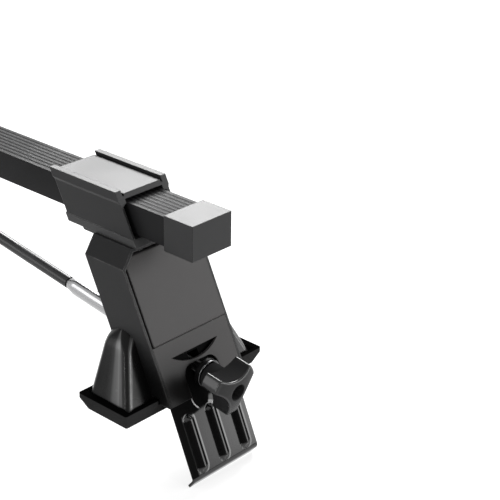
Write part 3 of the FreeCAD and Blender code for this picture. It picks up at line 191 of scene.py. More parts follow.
SHARP_ANGLE, WELD = math.radians(32.0), 0.000002


class Shell:
    """Grids and prisms gathered for one mesh."""

    def __init__(self):
        self.points, self.faces, self.shades, self.count = [], [], [], 0

    def grid(self, points, wrap_rows=False, wrap_columns=True, keep=None, close=(), shade=0.0):
        """Adds a grid of points (rows, columns, 3). close holds the numbers of rows that a flat face closes,
        and shade is the piece's own attribute of that name, over the grid or for all of it."""
        rows, columns = points.shape[:2]
        faces = grid_faces(rows, columns, wrap_rows, wrap_columns, keep) + self.count
        self.faces += faces.tolist()
        self.faces += [(np.arange(columns) + (row % rows) * columns + self.count).tolist() for row in close]
        self.points.append(points.reshape(-1, 3))
        self.shades.append(np.broadcast_to(shade, (rows, columns)).ravel())
        self.count += rows * columns
        return self

    def prism(self, profile, low, high):
        """Adds a profile of (x, z) points carried straight from y = low to y = high, closed at both ends."""
        loops = np.stack([np.insert(np.array(profile, dtype=float), 1, y, axis=1) for y in (low, high)])
        return self.grid(loops, close=(0, -1))

    def piece(self, name, side, body, slot, replaces):
        """Makes the object in its slot's finish: millimetres on the right foot to metres in the row frame,
        turned half round Z for the left foot, doubles merged, faces outward, sharp edges kept sharp."""
        points = (np.concatenate(self.points) + (FOOT_X, 0.0, RIDE)) / 1000
        if side == "left":
            points = points * (-1.0, -1.0, 1.0)
        mesh = bpy.data.meshes.new(name)
        mesh.from_pydata(points.tolist(), [], self.faces)
        mesh.attributes.new("shade", "FLOAT", "POINT").data.foreach_set("value", np.concatenate(self.shades))
        work = bmesh.new()
        work.from_mesh(mesh)
        bmesh.ops.remove_doubles(work, verts=work.verts, dist=WELD)
        bmesh.ops.recalc_face_normals(work, faces=work.faces)
        work.to_mesh(mesh)
        work.free()
        mesh.polygons.foreach_set("use_smooth", np.ones(len(mesh.polygons), dtype=bool))
        mesh.set_sharp_from_angle(angle=SHARP_ANGLE)
        mesh.materials.append(finish(slot))
        piece = bpy.data.objects.new(name, mesh)
        bpy.context.scene.collection.objects.link(piece)
        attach(piece, body)
        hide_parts(*replaces)
        return piece


def lathe(profile, turns, origin=WASHER_POINT, axis=ROD_AXIS, up=ROD_UP, side=ACROSS):
    """Grid of a turned shape: P = origin + h axis + r (cos t up + sin t side), one row for each (r, h)."""
    profile = np.array(profile, dtype=float)
    angle = np.linspace(0.0, 2 * math.pi, turns, endpoint=False)
    ring = np.cos(angle)[:, None] * up + np.sin(angle)[:, None] * side
    return origin + profile[:, 1, None, None] * axis + profile[:, 0, None, None] * ring[None]


def arc(centre, radius, start, end, steps):
    """Points (x, y) of an arc: centre + radius (cos t, sin t), angles in degrees."""
    angle = np.radians(np.linspace(start, end, steps))
    return np.stack((centre[0] + radius * np.cos(angle), centre[1] + radius * np.sin(angle)), axis=-1)


def smooth_step(value):
    """6t^5 - 15t^4 + 10t^3 of a value held between 0 and 1."""
    t = np.clip(value, 0.0, 1.0)
    return t ** 3 * (10.0 - 15.0 * t + 6.0 * t * t)


# ---------------------------------------------------------------- knob

KNOB_RADIUS, KNOB_LENGTH, KNOB_NECK, KNOB_BACK_EDGE = 19.8, 26.8, 9.8, 0.5
HUB_RADIUS, HUB_ROUND, HUB_CUT, ENTRY_RADIUS, ENTRY_BREAK = 8.8, 0.7, 0.2, 4.3, 0.3
INSERT_SEAT, INSERT_FOOT, SOCKET_RADIUS, SOCKET_FLOOR = 5.1, 2.0, 5.6, 14.0
MOUTH_WIDE, MOUTH_MIDDLE, MOUTH_DEEP = 0.7, (0.3, 0.12), 0.6
HOLLOW_RADIUS, HOLLOW_PLACE, LOBE_ROUND = 24.0, (-33.48, -1.17), 1.6
LOBES, LOBE_TURN, HOLLOW_STEPS, CORNER_STEPS, TIP_STEPS = 3, 120.0, 34, 8, 12
DOME_RADIUS, DOME_CENTRE, WASHER_THICKNESS = 52.0, 51.62, 1.5
# Gloss of the lobes' tips, which fades in past a radius, of the front rim and of the face
TIP_GLOSS, TIP_START, TIP_FADE, RIM_GLOSS, FACE_GLOSS = 0.6, 16.0, 2.0, 0.6, 0.4


def polar(radius, angle):
    """The point (x, y) at a radius and an angle in degrees."""
    return arc((0.0, 0.0), radius, angle, angle, 1)[0]


def heading(way):
    """The angle in degrees of a way (x, y)."""
    return math.degrees(math.atan2(way[1], way[0]))


def knob_outline():
    """The knob's outline, seen along its axis, and the way out of it at each point, three times: an arc of
    the hollow about its own centre, a small arc round the lobe's corner, the lobe's tip about the knob's
    axis, and the other corner. The arcs touch, so the outline has no corner."""
    reach, lie = math.hypot(*HOLLOW_PLACE), heading(HOLLOW_PLACE)
    inner, outer = KNOB_RADIUS - LOBE_ROUND, HOLLOW_RADIUS + LOBE_ROUND
    spread = math.degrees(math.acos((inner ** 2 + reach ** 2 - outer ** 2) / (2 * inner * reach)))
    points, ways = [], []

    def add_arc(middle, radius, start, end, steps, sign=1.0):
        run = arc(middle, radius, start, end, steps)[:-1]
        points.append(run)
        ways.append((run - np.array(middle)) * sign / radius)

    def add_corner(corner, start, end):
        add_arc(corner, LOBE_ROUND, start, start + (end - start) % 360.0, CORNER_STEPS)

    for turn in lie + LOBE_TURN * np.arange(LOBES):
        tip, tip_end = turn + spread, turn + LOBE_TURN - spread
        before, first, second = (polar(inner, angle) for angle in (turn - spread, tip, tip_end))
        middle, following = polar(reach, turn), polar(reach, turn + LOBE_TURN)
        start = heading(before - middle) % 360.0
        end = start - (start - heading(first - middle)) % 360.0
        add_arc(middle, HOLLOW_RADIUS, start, end, HOLLOW_STEPS, -1.0)
        add_corner(first, end - 180.0, tip)
        add_arc((0.0, 0.0), KNOB_RADIUS, tip, tip_end, TIP_STEPS)
        add_corner(second, tip_end, heading(second - following) - 180.0)
    return np.concatenate(points), np.concatenate(ways)


def dome(points):
    """Height of the knob's face over points (x, y): a ball of 52 mm cut flat in the middle."""
    radius = np.hypot(*points.T)[:, None]
    return np.minimum(KNOB_LENGTH - DOME_CENTRE + np.sqrt(DOME_RADIUS ** 2 - radius ** 2), KNOB_LENGTH)


def knob_shell():
    """Rows run from the bore out over the hub, along the lobes' sides and over the domed face into the
    socket. Along the rims the outline moves in by e (1 - cos t) while the height rises by e sin t. Over the
    face a point is (1 - v) of the outline and v of the socket's circle."""
    outline, way = knob_outline()
    across = np.hypot(*outline.T)
    spoke = outline / across[:, None]
    tips = TIP_GLOSS * smooth_step((across - TIP_START) / TIP_FADE)
    edge = sizes().knob_edge * 1000
    rows, gloss = [], []

    def add_row(points, height, shade=0.0):
        rows.append(np.concatenate((points, np.broadcast_to(height, (len(points), 1))), axis=1))
        gloss.append(np.broadcast_to(shade, len(points)))

    for radius, height in ((ENTRY_RADIUS, INSERT_FOOT), (ENTRY_RADIUS, ENTRY_BREAK),
                           (ENTRY_RADIUS + ENTRY_BREAK, 0.0), (HUB_RADIUS - HUB_ROUND, 0.0),
                           (HUB_RADIUS - HUB_CUT, HUB_CUT), (HUB_RADIUS, HUB_ROUND), (HUB_RADIUS, KNOB_NECK)):
        add_row(spoke * radius, height)
    inset = outline - way * KNOB_BACK_EDGE
    for share in (0.1, 0.4, 0.7):
        add_row(spoke * HUB_RADIUS * (1 - share) + inset * share, KNOB_NECK)
    for step in np.radians((0.0, 30.0, 60.0, 90.0)):
        add_row(outline - way * KNOB_BACK_EDGE * (1 - math.sin(step)),
                KNOB_NECK + KNOB_BACK_EDGE * (1 - math.cos(step)))
    low, high = KNOB_NECK + KNOB_BACK_EDGE, dome(outline) - edge
    for share in (0.05, 0.5, 0.97):
        add_row(outline, low + share * (high - low), tips)
    for step in np.radians(np.linspace(0.0, 90.0, 7)):
        moved = outline - way * edge * (1 - math.cos(step))
        add_row(moved, dome(moved) - edge * (1 - math.sin(step)), RIM_GLOSS)
    inset, mouth = outline - way * edge, spoke * (SOCKET_RADIUS + MOUTH_WIDE)
    for share in np.linspace(0.1, 1.0, 10):
        blended = inset * (1 - share) + mouth * share
        add_row(blended, dome(blended), FACE_GLOSS)
    for radius, height in ((SOCKET_RADIUS + MOUTH_MIDDLE[0], KNOB_LENGTH - MOUTH_MIDDLE[1]),
                           (SOCKET_RADIUS, KNOB_LENGTH - MOUTH_DEEP), (SOCKET_RADIUS, SOCKET_FLOOR),
                           (INSERT_SEAT, SOCKET_FLOOR), (INSERT_SEAT, INSERT_FOOT)):
        add_row(spoke * radius, height)
    grid = np.stack(rows)
    base = WASHER_POINT + ROD_AXIS * WASHER_THICKNESS
    points = base + grid[..., 2:] * ROD_AXIS - grid[..., :1] * ROD_UP + grid[..., 1:2] * ACROSS
    return Shell().grid(points, wrap_rows=True, shade=np.stack(gloss))


# ---------------------------------------------------------------- seat, washer and rod

THREAD_RADIUS, ROD_RADIUS, THREAD_BORE, EDGE_BREAK = 4.0, 3.55, 4.08, 0.3
WASHER_RADIUS, WASHER_ROUND, SEAT_RADIUS, SEAT_BALL, SEAT_RIM = 10.0, 0.45, 10.0, 8.5, 3.0


def washer_shell():
    """Closed ring profile with rounded rims, turned about the rod."""
    middle, top = WASHER_RADIUS - WASHER_ROUND, WASHER_THICKNESS - WASHER_ROUND
    profile = np.concatenate((arc((middle, WASHER_ROUND), WASHER_ROUND, -90, 0, 6),
                              arc((middle, top), WASHER_ROUND, 0, 90, 6),
                              [(THREAD_BORE + EDGE_BREAK, WASHER_THICKNESS),
                               (THREAD_BORE, WASHER_THICKNESS - EDGE_BREAK),
                               (THREAD_BORE, EDGE_BREAK), (THREAD_BORE + EDGE_BREAK, 0.0)]))
    return Shell().grid(lathe(profile, 96), wrap_rows=True)


def seat_shell():
    """Half ball, r = 8.5 cos t and h = -8.5 sin t, under a plain rim of 10 mm, turned about the rod."""
    turn = np.linspace(math.asin(SEAT_RIM / SEAT_BALL), math.acos(THREAD_BORE / SEAT_BALL), 14)
    rim = [(THREAD_BORE, 0.0), (SEAT_RADIUS - EDGE_BREAK, 0.0), (SEAT_RADIUS, -EDGE_BREAK),
           (SEAT_RADIUS, EDGE_BREAK - SEAT_RIM), (SEAT_RADIUS - EDGE_BREAK, -SEAT_RIM)]
    ball = SEAT_BALL * np.stack((np.cos(turn), -np.sin(turn)), axis=-1)
    return Shell().grid(lathe(np.concatenate((rim, ball)), 72), wrap_rows=True)


ROD_TURNS, ROD_END, ROD_END_BREAK, ROD_START, ROD_START_RADIUS = 64, 19.3, 0.8, 2.0, 0.6
THREAD_LENGTH, THREAD_DEPTH, THREAD_FADE, THREAD_STOP, THREAD_ROWS = 46.0, 0.3, 2.0, 1.0, 8
# Places of the swell past the sleeve's end and of the neck's end before the thread, and their sizes
SWELL_PLACES, SWELL_STEP, SWELL_RADIUS = (0.4, 0.8, 1.6, 8.0), 0.4, 5.0
NECK_RATIO, NECK_PLACES = 1.25, (6.0, 0.5)
ROD_EYE_RADIUS, ROD_EYE_WIDTH, ROD_EYE_BREAK, ROD_PIN_BORE = 6.0, 8.0, 0.5, 2.58
SLEEVE_RADIUS, SLEEVE_BORE, SLEEVE_ROUND, SLEEVE_SETBACK, BORE_SETBACK = 4.4, 3.65, 0.3, 0.5, 0.6


def rod_shell():
    """A shank of r = 3.55 that swells to an oval neck past its sleeve, with a rolled thread at its outer end,
    r = 4 - d + d cos(2 pi h / pitch - t), that fades at both ends of its length, and an eye turned about the
    pin at its inner end."""
    span, pitch = rod_span(), sizes().thread_pitch * 1000
    start, stop = ROD_END - THREAD_LENGTH, ROD_END - THREAD_STOP
    angle = np.linspace(0.0, 2 * math.pi, ROD_TURNS, endpoint=False)
    height = np.arange(start, stop, pitch / THREAD_ROWS)
    fade = smooth_step((height - start) / THREAD_FADE) * smooth_step((stop - height) / THREAD_FADE)
    wave = THREAD_DEPTH * (np.cos(2 * math.pi * height[:, None] / pitch - angle) - 1.0) * fade[:, None]
    swell = sleeve_ends()[1] + np.array(SWELL_PLACES)
    neck = start - np.array(NECK_PLACES)
    rings = np.array(((ROD_START - span, ROD_START_RADIUS, 1.0), (ROD_START - span, ROD_RADIUS, 1.0),
                      (swell[0], ROD_RADIUS, 1.0), (swell[1], SLEEVE_RADIUS - SWELL_STEP, 1.0),
                      (swell[2], SLEEVE_RADIUS, 1.0), (swell[3], SWELL_RADIUS, NECK_RATIO),
                      (neck[0], SWELL_RADIUS, NECK_RATIO), (neck[1], THREAD_RADIUS, 1.0)))
    tip = np.array(((ROD_END - ROD_END_BREAK, THREAD_RADIUS, 1.0),
                    (ROD_END, THREAD_RADIUS - ROD_END_BREAK, 1.0)))
    plain = np.ones((1, ROD_TURNS))
    radius = np.concatenate((rings[:, 1:2] * plain, THREAD_RADIUS + wave, tip[:, 1:2] * plain))
    along = np.concatenate((rings[:, 0], height, tip[:, 0]))
    tall = np.concatenate((rings[:, 2], np.ones_like(height), tip[:, 2]))[:, None, None]
    ring = tall * np.cos(angle)[:, None] * ROD_UP + np.sin(angle)[:, None] * ACROSS
    points = WASHER_POINT + along[:, None, None] * ROD_AXIS + radius[..., None] * ring
    # The thread, inside the tower and the knob, takes the painted shade colour; the rest of the rod keeps its
    # plating.
    bright = np.where(along < start + THREAD_FADE, 1.0, 0.0)[:, None]
    shell = Shell().grid(points, close=(0, -1), shade=bright)
    half, shoulder = ROD_EYE_WIDTH / 2, ROD_EYE_RADIUS - ROD_EYE_BREAK
    eye = [(ROD_PIN_BORE, -half), (shoulder, -half), (ROD_EYE_RADIUS, ROD_EYE_BREAK - half),
           (ROD_EYE_RADIUS, half - ROD_EYE_BREAK), (shoulder, half), (ROD_PIN_BORE, half)]
    eye = lathe(eye, 40, WASHER_POINT - ROD_AXIS * span, ACROSS, np.array((1.0, 0.0, 0.0)),
                np.array((0.0, 0.0, 1.0)))
    return shell.grid(eye, wrap_rows=True, shade=1.0)


def rod_span():
    """Length of the rod from its pin to the washer, from the pin's box."""
    low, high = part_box("rod_pin_right")
    return float(np.linalg.norm(foot_point((low + high) / 2) - WASHER_POINT))


def sleeve_ends():
    """Places along the rod, from the washer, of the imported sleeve's ends."""
    low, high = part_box("rod_sleeve_right")
    return [(foot_point(corner)[0] - WASHER_POINT[0]) / ROD_AXIS[0] for corner in (low, high)]


def sleeve_shell():
    """Tube over the rod with rounded ends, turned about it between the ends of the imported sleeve."""
    inner, outer = sleeve_ends()
    middle = SLEEVE_RADIUS - SLEEVE_ROUND
    profile = np.concatenate((arc((middle, inner + SLEEVE_SETBACK), SLEEVE_ROUND, 180, 360, 7),
                              arc((middle, outer - SLEEVE_SETBACK), SLEEVE_ROUND, 0, 180, 7),
                              [(SLEEVE_BORE, outer - BORE_SETBACK), (SLEEVE_BORE, inner + BORE_SETBACK)]))
    return Shell().grid(lathe(profile, 96), wrap_rows=True)


# ---------------------------------------------------------------- hook plate

HOOK_LEAN = math.radians(23.8)
PLATE_OUT = np.array((math.cos(HOOK_LEAN), 0.0, math.sin(HOOK_LEAN)))
PLATE_UP = np.array((-math.sin(HOOK_LEAN), 0.0, math.cos(HOOK_LEAN)))
EYE_RADIUS, HOOK_SHEET, HOOK_LENGTH, HOOK_HALF_WIDTH = 5.5, 2.0, 116.0, 31.5
FOLD_RADIUS, FOLD_TURN, LIP_LENGTH, EYE_TURN, EYE_END = 4.0, 62.0, 8.3, 290.0, 6.0
BEAD_PLACES, BEAD_TOP, BEAD_BOTTOM, BEAD_CREST, BEAD_FOOT = (-21.0, 0.0, 21.0), 71.0, 113.0, 0.7, 5.0
SLOT_HALF_WIDTH, SLOT_TOP, SLOT_BOTTOM = 4.8, 33.6, 55.6
# Rows down the straight part, from mark to mark: its top, the slot, above and below the beads' tops, above
# their bottoms and the fold. Columns across it: over each bead, and fine and plain ones between them.
BEAD_LEAD, BEAD_RUN, PLATE_ROWS = 1.0, 7.0, (4, 8, 35, 22, 7, 21)
BEAD_SPREAD, BEAD_COLUMNS, FINE_COLUMNS = 7.2, 49, (-13.4, -7.6, 15)
PLAIN_COLUMNS = (-HOOK_HALF_WIDTH, -30.0, 9.0, 12.0, 30.0, HOOK_HALF_WIDTH)


def plate_path():
    """Section of the plate's front: round the pin, straight down, round the fold and along the lip. Rows of
    (out, up, normal out, normal up, flat), where flat is 1 on the straight part."""
    mitre = FOLD_RADIUS * math.tan(math.radians(FOLD_TURN / 2))
    flat_end = HOOK_LENGTH - mitre

    def bend(centre, radius, turn):
        way = np.stack((np.cos(turn), np.sin(turn)), axis=-1)
        return np.column_stack((centre + radius * way, way, 0 * turn))

    round_eye = bend((0.0, 0.0), EYE_RADIUS, np.radians(np.linspace(EYE_TURN, EYE_END, 34)))
    marks = (0.0, SLOT_TOP, SLOT_BOTTOM, BEAD_TOP - BEAD_LEAD, BEAD_TOP + BEAD_RUN,
             BEAD_BOTTOM - BEAD_RUN, flat_end)
    steps = [np.linspace(low, high, count, endpoint=False)
             for low, high, count in zip(marks, marks[1:], PLATE_ROWS)]
    steps = np.append(np.concatenate(steps), flat_end)
    one = np.ones_like(steps)
    straight = np.stack((EYE_RADIUS * one, -steps, one, 0 * one, one), axis=-1)
    fold = bend((EYE_RADIUS - FOLD_RADIUS, -flat_end), FOLD_RADIUS,
                np.radians(np.linspace(0, -FOLD_TURN, 12))[1:])
    run = np.linspace(0, LIP_LENGTH - mitre, 5)[1:, None]
    last = fold[-1]
    ahead = np.array((last[3], -last[2]))
    lip = np.concatenate((last[:2] + run * ahead, np.tile(last[2:], (len(run), 1))), axis=1)
    return np.concatenate((round_eye, straight, fold, lip))


def bead_line(across, down, place):
    """Distance from a bead's crest line, and how far past the ends of that line."""
    past = down - np.clip(down, BEAD_TOP + BEAD_FOOT, BEAD_BOTTOM - BEAD_FOOT)
    return np.hypot(across - place, past), past


def bead_height(across, down):
    """Height of the beads: 1 on a crest line, falling to 0 at their foot as 1 - (6t^5 - 15t^4 + 10t^3), where
    t is the distance from the line, less the crest's half width, over the width of the flank."""
    nearest = np.minimum.reduce([bead_line(across, down, place)[0] for place in BEAD_PLACES])
    flank = smooth_step((nearest - BEAD_CREST) / (BEAD_FOOT - BEAD_CREST))
    return (1.0 - flank) * sizes().bead_height * 1000


# Gloss of the plate: on the flat, with its rise to the right, on its back, on a bead's flank, crest and ends,
# and on a line at its right foot where the flat has the least gloss for it. The flat has none left of a place,
# and none above a level, which is higher by a step right of the middle. Fold and lip have it in full.
PLATE_GLOSS, GLOSS_RISE, GLOSS_LEAST, BACK_GLOSS, FOLD_BELOW = 0.41, 0.003, 0.1, 0.3, -100.0
FLANK_GLOSS, CREST_GLOSS, CREST_SHIFT, CREST_HALF, FLANK_SOFT = 0.05, 0.5, 0.2, 0.35, 0.8
END_GLOSS, END_FADE, FOOT_GLOSS, FOOT_LINE, FOOT_LINE_HALF = 1.0, 2.0, 0.6, 0.9, 0.4
DULL_ABOVE, DULL_FADE, DULL_STEP, STEP_PLACE, STEP_WIDTH = 70.0, 4.0, 6.0, -1.0, 4.0
DULL_BESIDE, BESIDE_FADE = -27.0, 1.5
# Painted highlights, spots of lighter colour: on the dish's rim (place across, half width, share) and at each
# bead's ends (place from the bead's, level, share), with the widths of their soft borders
DISH_PLACE, DISH_RADIUS, DISH_GLINTS = (-2.0, 63.0), 10.9, ((-12.0, 2.4, 1.0), (5.0, 3.0, 0.7))
RIM_HALF, RIM_SOFT, RIM_FADE, RIM_END_SOFT = 0.3, 0.5, 2.0, 1.5
BEAD_GLINTS = ((0.6, 73.6, 0.7), (-3.0, 74.4, 0.4), (-3.4, 111.2, 0.6), (1.8, 109.8, 0.5))
GLINT_HALF, GLINT_SOFT, GLINT_SQUASH = 0.3, 0.7, 0.5


def band(value, centre, half, soft=0.4):
    """1 within half of a centre, falling to 0 over a soft border."""
    return 1.0 - smooth_step((np.abs(value - centre) - half) / soft)


def plate_gloss(across, down):
    """Weight of the clear coat, up to 1: even on the flat, thin on the beads' flanks, fuller along their
    crests, round their ends and along a line at their right foot. Above 1 it marks the painted highlights,
    where the colour turns lighter."""
    clear = down - DULL_ABOVE + DULL_STEP * smooth_step((across - STEP_PLACE) / STEP_WIDTH)
    gloss = (PLATE_GLOSS + GLOSS_RISE * across) * smooth_step(clear / DULL_FADE)
    gloss = gloss * smooth_step((across - DULL_BESIDE) / BESIDE_FADE)
    for place in BEAD_PLACES:
        distance, past = bead_line(across, down, place)
        inside = 1.0 - smooth_step((distance - BEAD_FOOT + FLANK_SOFT / 2) / FLANK_SOFT)
        ends = smooth_step(np.abs(past) / END_FADE)
        bead = FLANK_GLOSS + CREST_GLOSS * band(across, place + CREST_SHIFT, CREST_HALF) + END_GLOSS * ends
        foot = FOOT_GLOSS * band(distance, BEAD_FOOT + FOOT_LINE, FOOT_LINE_HALF) * (across > place)
        gloss = gloss * (1 - inside) + bead * inside + foot * (1 - inside) * (gloss > GLOSS_LEAST)
    return np.maximum(np.minimum(gloss, 1.0), 2.0 * painted_plate_glints(across, down))


def painted_plate_glints(across, down):
    """Painted highlights, 1 at most: lighter colour where the rim of the round dish and the ends of the beads
    would catch the light.
    """
    rim = band(np.hypot(across - DISH_PLACE[0], down - DISH_PLACE[1]), DISH_RADIUS, RIM_HALF, RIM_SOFT)
    rim = rim * smooth_step((down - DISH_PLACE[1] + RIM_FADE / 2) / RIM_FADE)
    painted_glint = sum(share * rim * band(across, place, half, RIM_END_SOFT) for place, half, share in DISH_GLINTS)
    for place in BEAD_PLACES:
        for aside, level, share in BEAD_GLINTS:
            spot = np.hypot(across - place - aside, (down - level) * GLINT_SQUASH)
            painted_glint = np.maximum(painted_glint, share * band(spot, 0.0, GLINT_HALF, GLINT_SOFT))
    return painted_glint


def plate_columns():
    """Places across the plate, close together over the beads and left of the middle one, with one at each
    side of the slot."""
    runs = [np.linspace(place - BEAD_SPREAD, place + BEAD_SPREAD, BEAD_COLUMNS) for place in BEAD_PLACES]
    places = np.sort(np.concatenate((*runs, np.linspace(*FINE_COLUMNS), PLAIN_COLUMNS)))
    for edge in (-SLOT_HALF_WIDTH, SLOT_HALF_WIDTH):
        places[np.argmin(np.abs(places - edge))] = edge
    return places


def hook_shell():
    """The path carried across the plate at its front, moved out by the beads' height, and 2 mm behind it at
    its back, joined round the edges and round the rod's slot."""
    path, places = plate_path(), plate_columns()
    out, up, normal_out, normal_up, flat = path.T[:, :, None]
    rise = bead_height(places[None], -up) * flat

    def sheet(behind):
        offset = rise - behind
        along, above = out + normal_out * offset, up + normal_up * offset
        grid = along[..., None] * PLATE_OUT + above[..., None] * PLATE_UP
        return PIVOT + grid + places[None, :, None] * ACROSS

    front, back = sheet(0.0), sheet(HOOK_SHEET)
    loop = np.concatenate((front, back[:, ::-1]), axis=1)
    gloss = plate_gloss(places[None], -up) * flat + (1 - flat) * (up < FOLD_BELOW)
    gloss = np.concatenate((gloss, np.full_like(gloss, BACK_GLOSS)), axis=1)
    first, last = (int(np.argmin(np.abs(places - edge))) for edge in (-SLOT_HALF_WIDTH, SLOT_HALF_WIDTH))
    level = np.where(flat[:, 0] > 0, -up[:, 0], -1.0)
    top, bottom = (int(np.argmin(np.abs(level - edge))) for edge in (SLOT_TOP, SLOT_BOTTOM))
    count = len(places)
    keep = np.ones((len(path) - 1, 2 * count), dtype=bool)
    keep[top:bottom, first:last] = False
    keep[top:bottom, 2 * count - 1 - last:2 * count - 1 - first] = False
    shell = Shell().grid(loop, keep=keep, close=(0, -1), shade=gloss)
    for rows, columns in ((slice(top, bottom + 1), slice(first, first + 1)),
                          (slice(top, bottom + 1), slice(last, last + 1)),
                          (slice(top, top + 1), slice(first, last + 1)),
                          (slice(bottom, bottom + 1), slice(first, last + 1))):
        wall = np.stack((front[rows, columns].reshape(-1, 3), back[rows, columns].reshape(-1, 3)))
        shell.grid(wall, wrap_columns=False)
    return shell


# ---------------------------------------------------------------- base

BASE_LOW, BASE_TOP, BASE_BACK, BASE_FRONT, BASE_END = -105.0, -58.0, -38.6, 1.0, 60.2
BASE_LEAN, BASE_FLARE, BASE_SIDE_CROWN, CROWN_TURN = 0.436, 0.41, 8.5, 88.0
BASE_CORNER, CORNER_GROWTH, CORNER_SHARE, BASE_INSIDE, INSIDE_LEAST = 5.0, 3.0, 0.48, 34.8, 1.0
BASE_END_PLACES = (0.3, 0.55, 0.72, 0.86, 0.97)
# Gloss along a lobe's loop: its back corner, the places along its end, its front corner and the inner edge of
# its front. Above 1 it adds that share of a painted highlight, lighter colour in lines along the end and down
# the corner. The inner edge of its back has its own, for each way.
BASE_GLOSS_AND_HIGHLIGHT = (0.02, 0.02, 0.2, 0.5, 1.0, 1.1, 1.0, 0.5, 0.2, 0.02,
              0.0, 0.3, 1.05, 1.25, 0.7,
              0.2, 0.02, 0.0, 0.0, 0.0, 0.1, 0.9, 1.3, 1.0, 0.2,
              0.02)
BASE_BACK_GLOSS = ((1, 0.4), (-1, 0.02))
WEB_INSIDE, WEB_OVERLAP, WEB_SHELF, WEB_BACK_TOP, WEB_EDGE, TOWER_BACK = 6.5, 1.0, -100.1, -66.5, 0.2, -22.0
SHELF_STEP_RUN, SHELF_STEP_RISE = 3.0, 6.0


def crown_inset(height, radius):
    """How far a face has moved in at a height: r - sqrt(r^2 - (z - (top - r))^2) above top - r."""
    above = np.clip(height - (BASE_TOP - radius), 0.0, radius)
    return radius - np.sqrt(radius ** 2 - above ** 2)


def base_lobe(way):
    """Level loops of the leaning moulding beside the tower: two corner arcs and a straight run inside the
    tower's wall. Ends and sides move in along arcs of their own towards the top."""
    crown = sizes().crown * 1000
    turn = np.radians(np.linspace(0, CROWN_TURN, 16))
    height = np.concatenate((np.linspace(BASE_LOW, BASE_TOP - crown, 10)[:-1],
                             BASE_TOP - crown + crown * np.sin(turn)))[:, None]
    rise = height - BASE_LOW
    side = crown_inset(height, BASE_SIDE_CROWN)
    back, front = BASE_BACK + side, BASE_FRONT - BASE_LEAN * rise - side
    end = BASE_END - BASE_FLARE * rise - crown_inset(height, crown)
    corner = BASE_CORNER + CORNER_GROWTH * np.clip((height - BASE_TOP + crown) / crown, 0.0, 1.0)
    corner = np.minimum(corner, (front - back) * CORNER_SHARE)
    inside = np.minimum(BASE_INSIDE, end - corner - INSIDE_LEAST)
    arcs = np.radians(np.linspace(0, 90, 10))[None]
    run = back + corner + (front - back - 2 * corner) * np.array(BASE_END_PLACES)
    x = np.concatenate((back + corner * (1 - np.cos(arcs)), run, front - corner * (1 - np.cos(arcs[:, ::-1])),
                        front, back), axis=1)
    outward = end - corner + corner * np.sin(arcs)
    y = np.concatenate((outward, end + 0 * run, outward[:, ::-1], inside, inside), axis=1)
    z = np.broadcast_to(height, x.shape)
    return np.stack((x, y * way, z), axis=-1)


def base_shell():
    """Two lobes, and between them a shelf and an upright web behind the tower with a gap for the rod."""
    shell = Shell()
    for way, back_gloss in BASE_BACK_GLOSS:
        shell.grid(base_lobe(way), close=(0, -1), shade=np.array((*BASE_GLOSS_AND_HIGHLIGHT, back_gloss))[None])
    foot = [(BASE_BACK, BASE_LOW), (BASE_FRONT, BASE_LOW), (BASE_FRONT, WEB_SHELF), (TOWER_BACK, WEB_SHELF)]
    web = foot + [(BASE_BACK + WEB_EDGE, WEB_BACK_TOP), (BASE_BACK, WEB_BACK_TOP)]
    step = foot + [(TOWER_BACK - SHELF_STEP_RUN, WEB_SHELF + SHELF_STEP_RISE),
                   (BASE_BACK, WEB_SHELF + SHELF_STEP_RISE)]
    outer = BASE_INSIDE + WEB_OVERLAP
    shell.prism(web, -outer, -WEB_INSIDE).prism(web, WEB_INSIDE, outer)
    return shell.prism(step, -WEB_INSIDE, WEB_INSIDE)


# ---------------------------------------------------------------- sheath and panel

SHEATH_HALF, SHEATH_HEIGHT, SHEATH_WALL, SHEATH_CORNER, SHEATH_COLUMNS = 16.5, 21.0, 1.5, 0.6, 148
RIB_PITCH, GROOVES = 4.125, 3


def sheath_shell():
    """The sheath's section carried along the bar. Its top waves by d (1 - q)^2, where q runs from 0 at a
    groove to 1 on a rib. The bore follows the same loop, held inside the wall."""
    width, high = SHEATH_HALF - SHEATH_CORNER, SHEATH_HEIGHT - SHEATH_CORNER
    across = np.linspace(width, -width, SHEATH_COLUMNS)
    groove = np.clip(np.round(across / RIB_PITCH), -GROOVES, GROOVES) * RIB_PITCH
    share = np.clip(np.abs(across - groove) / (RIB_PITCH / 2), 0.0, 1.0)
    top = np.stack((across, SHEATH_HEIGHT - sizes().rib_depth * 1000 * (1.0 - share) ** 2), axis=-1)
    corners = [arc((x, z), SHEATH_CORNER, start, end, 5) for x, z, start, end in
               ((width, SHEATH_CORNER, -90, 0), (width, high, 0, 80),
                (-width, high, 100, 180), (-width, SHEATH_CORNER, 180, 270))]
    loop = np.concatenate((*corners[:2], top, *corners[2:]))
    inside = SHEATH_HALF - SHEATH_WALL
    bore = np.stack((np.clip(loop[:, 0], -inside, inside),
                     np.clip(loop[:, 1], SHEATH_WALL, SHEATH_HEIGHT - SHEATH_WALL)), axis=-1)
    low_end, high_end = (corner.x * 1000 - FOOT_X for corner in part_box("bar_sheath"))
    rows = [np.insert(section, 0, end, axis=1) for section, end in
            ((loop, low_end), (loop, high_end), (bore, high_end), (bore, low_end))]
    return Shell().grid(np.stack(rows), wrap_rows=True)


TOWER_LEAN, TOWER_FRONT, SPLIT_DROP = 0.489, -1.65, -66.2
TOWER_HALF, SHOULDER_HALF, SHOULDER_DROP = 36.6, 24.3, 9.5
PANEL_NEAR, PANEL_FAR, PANEL_TOP_GAP, PANEL_BOTTOM_GAP = 3.6, 0.9, 3.6, 0.1
PANEL_DEPTH, PANEL_EDGE, PANEL_FLAT, PANEL_CORNER = 2.6, 0.55, 0.5, 1.2


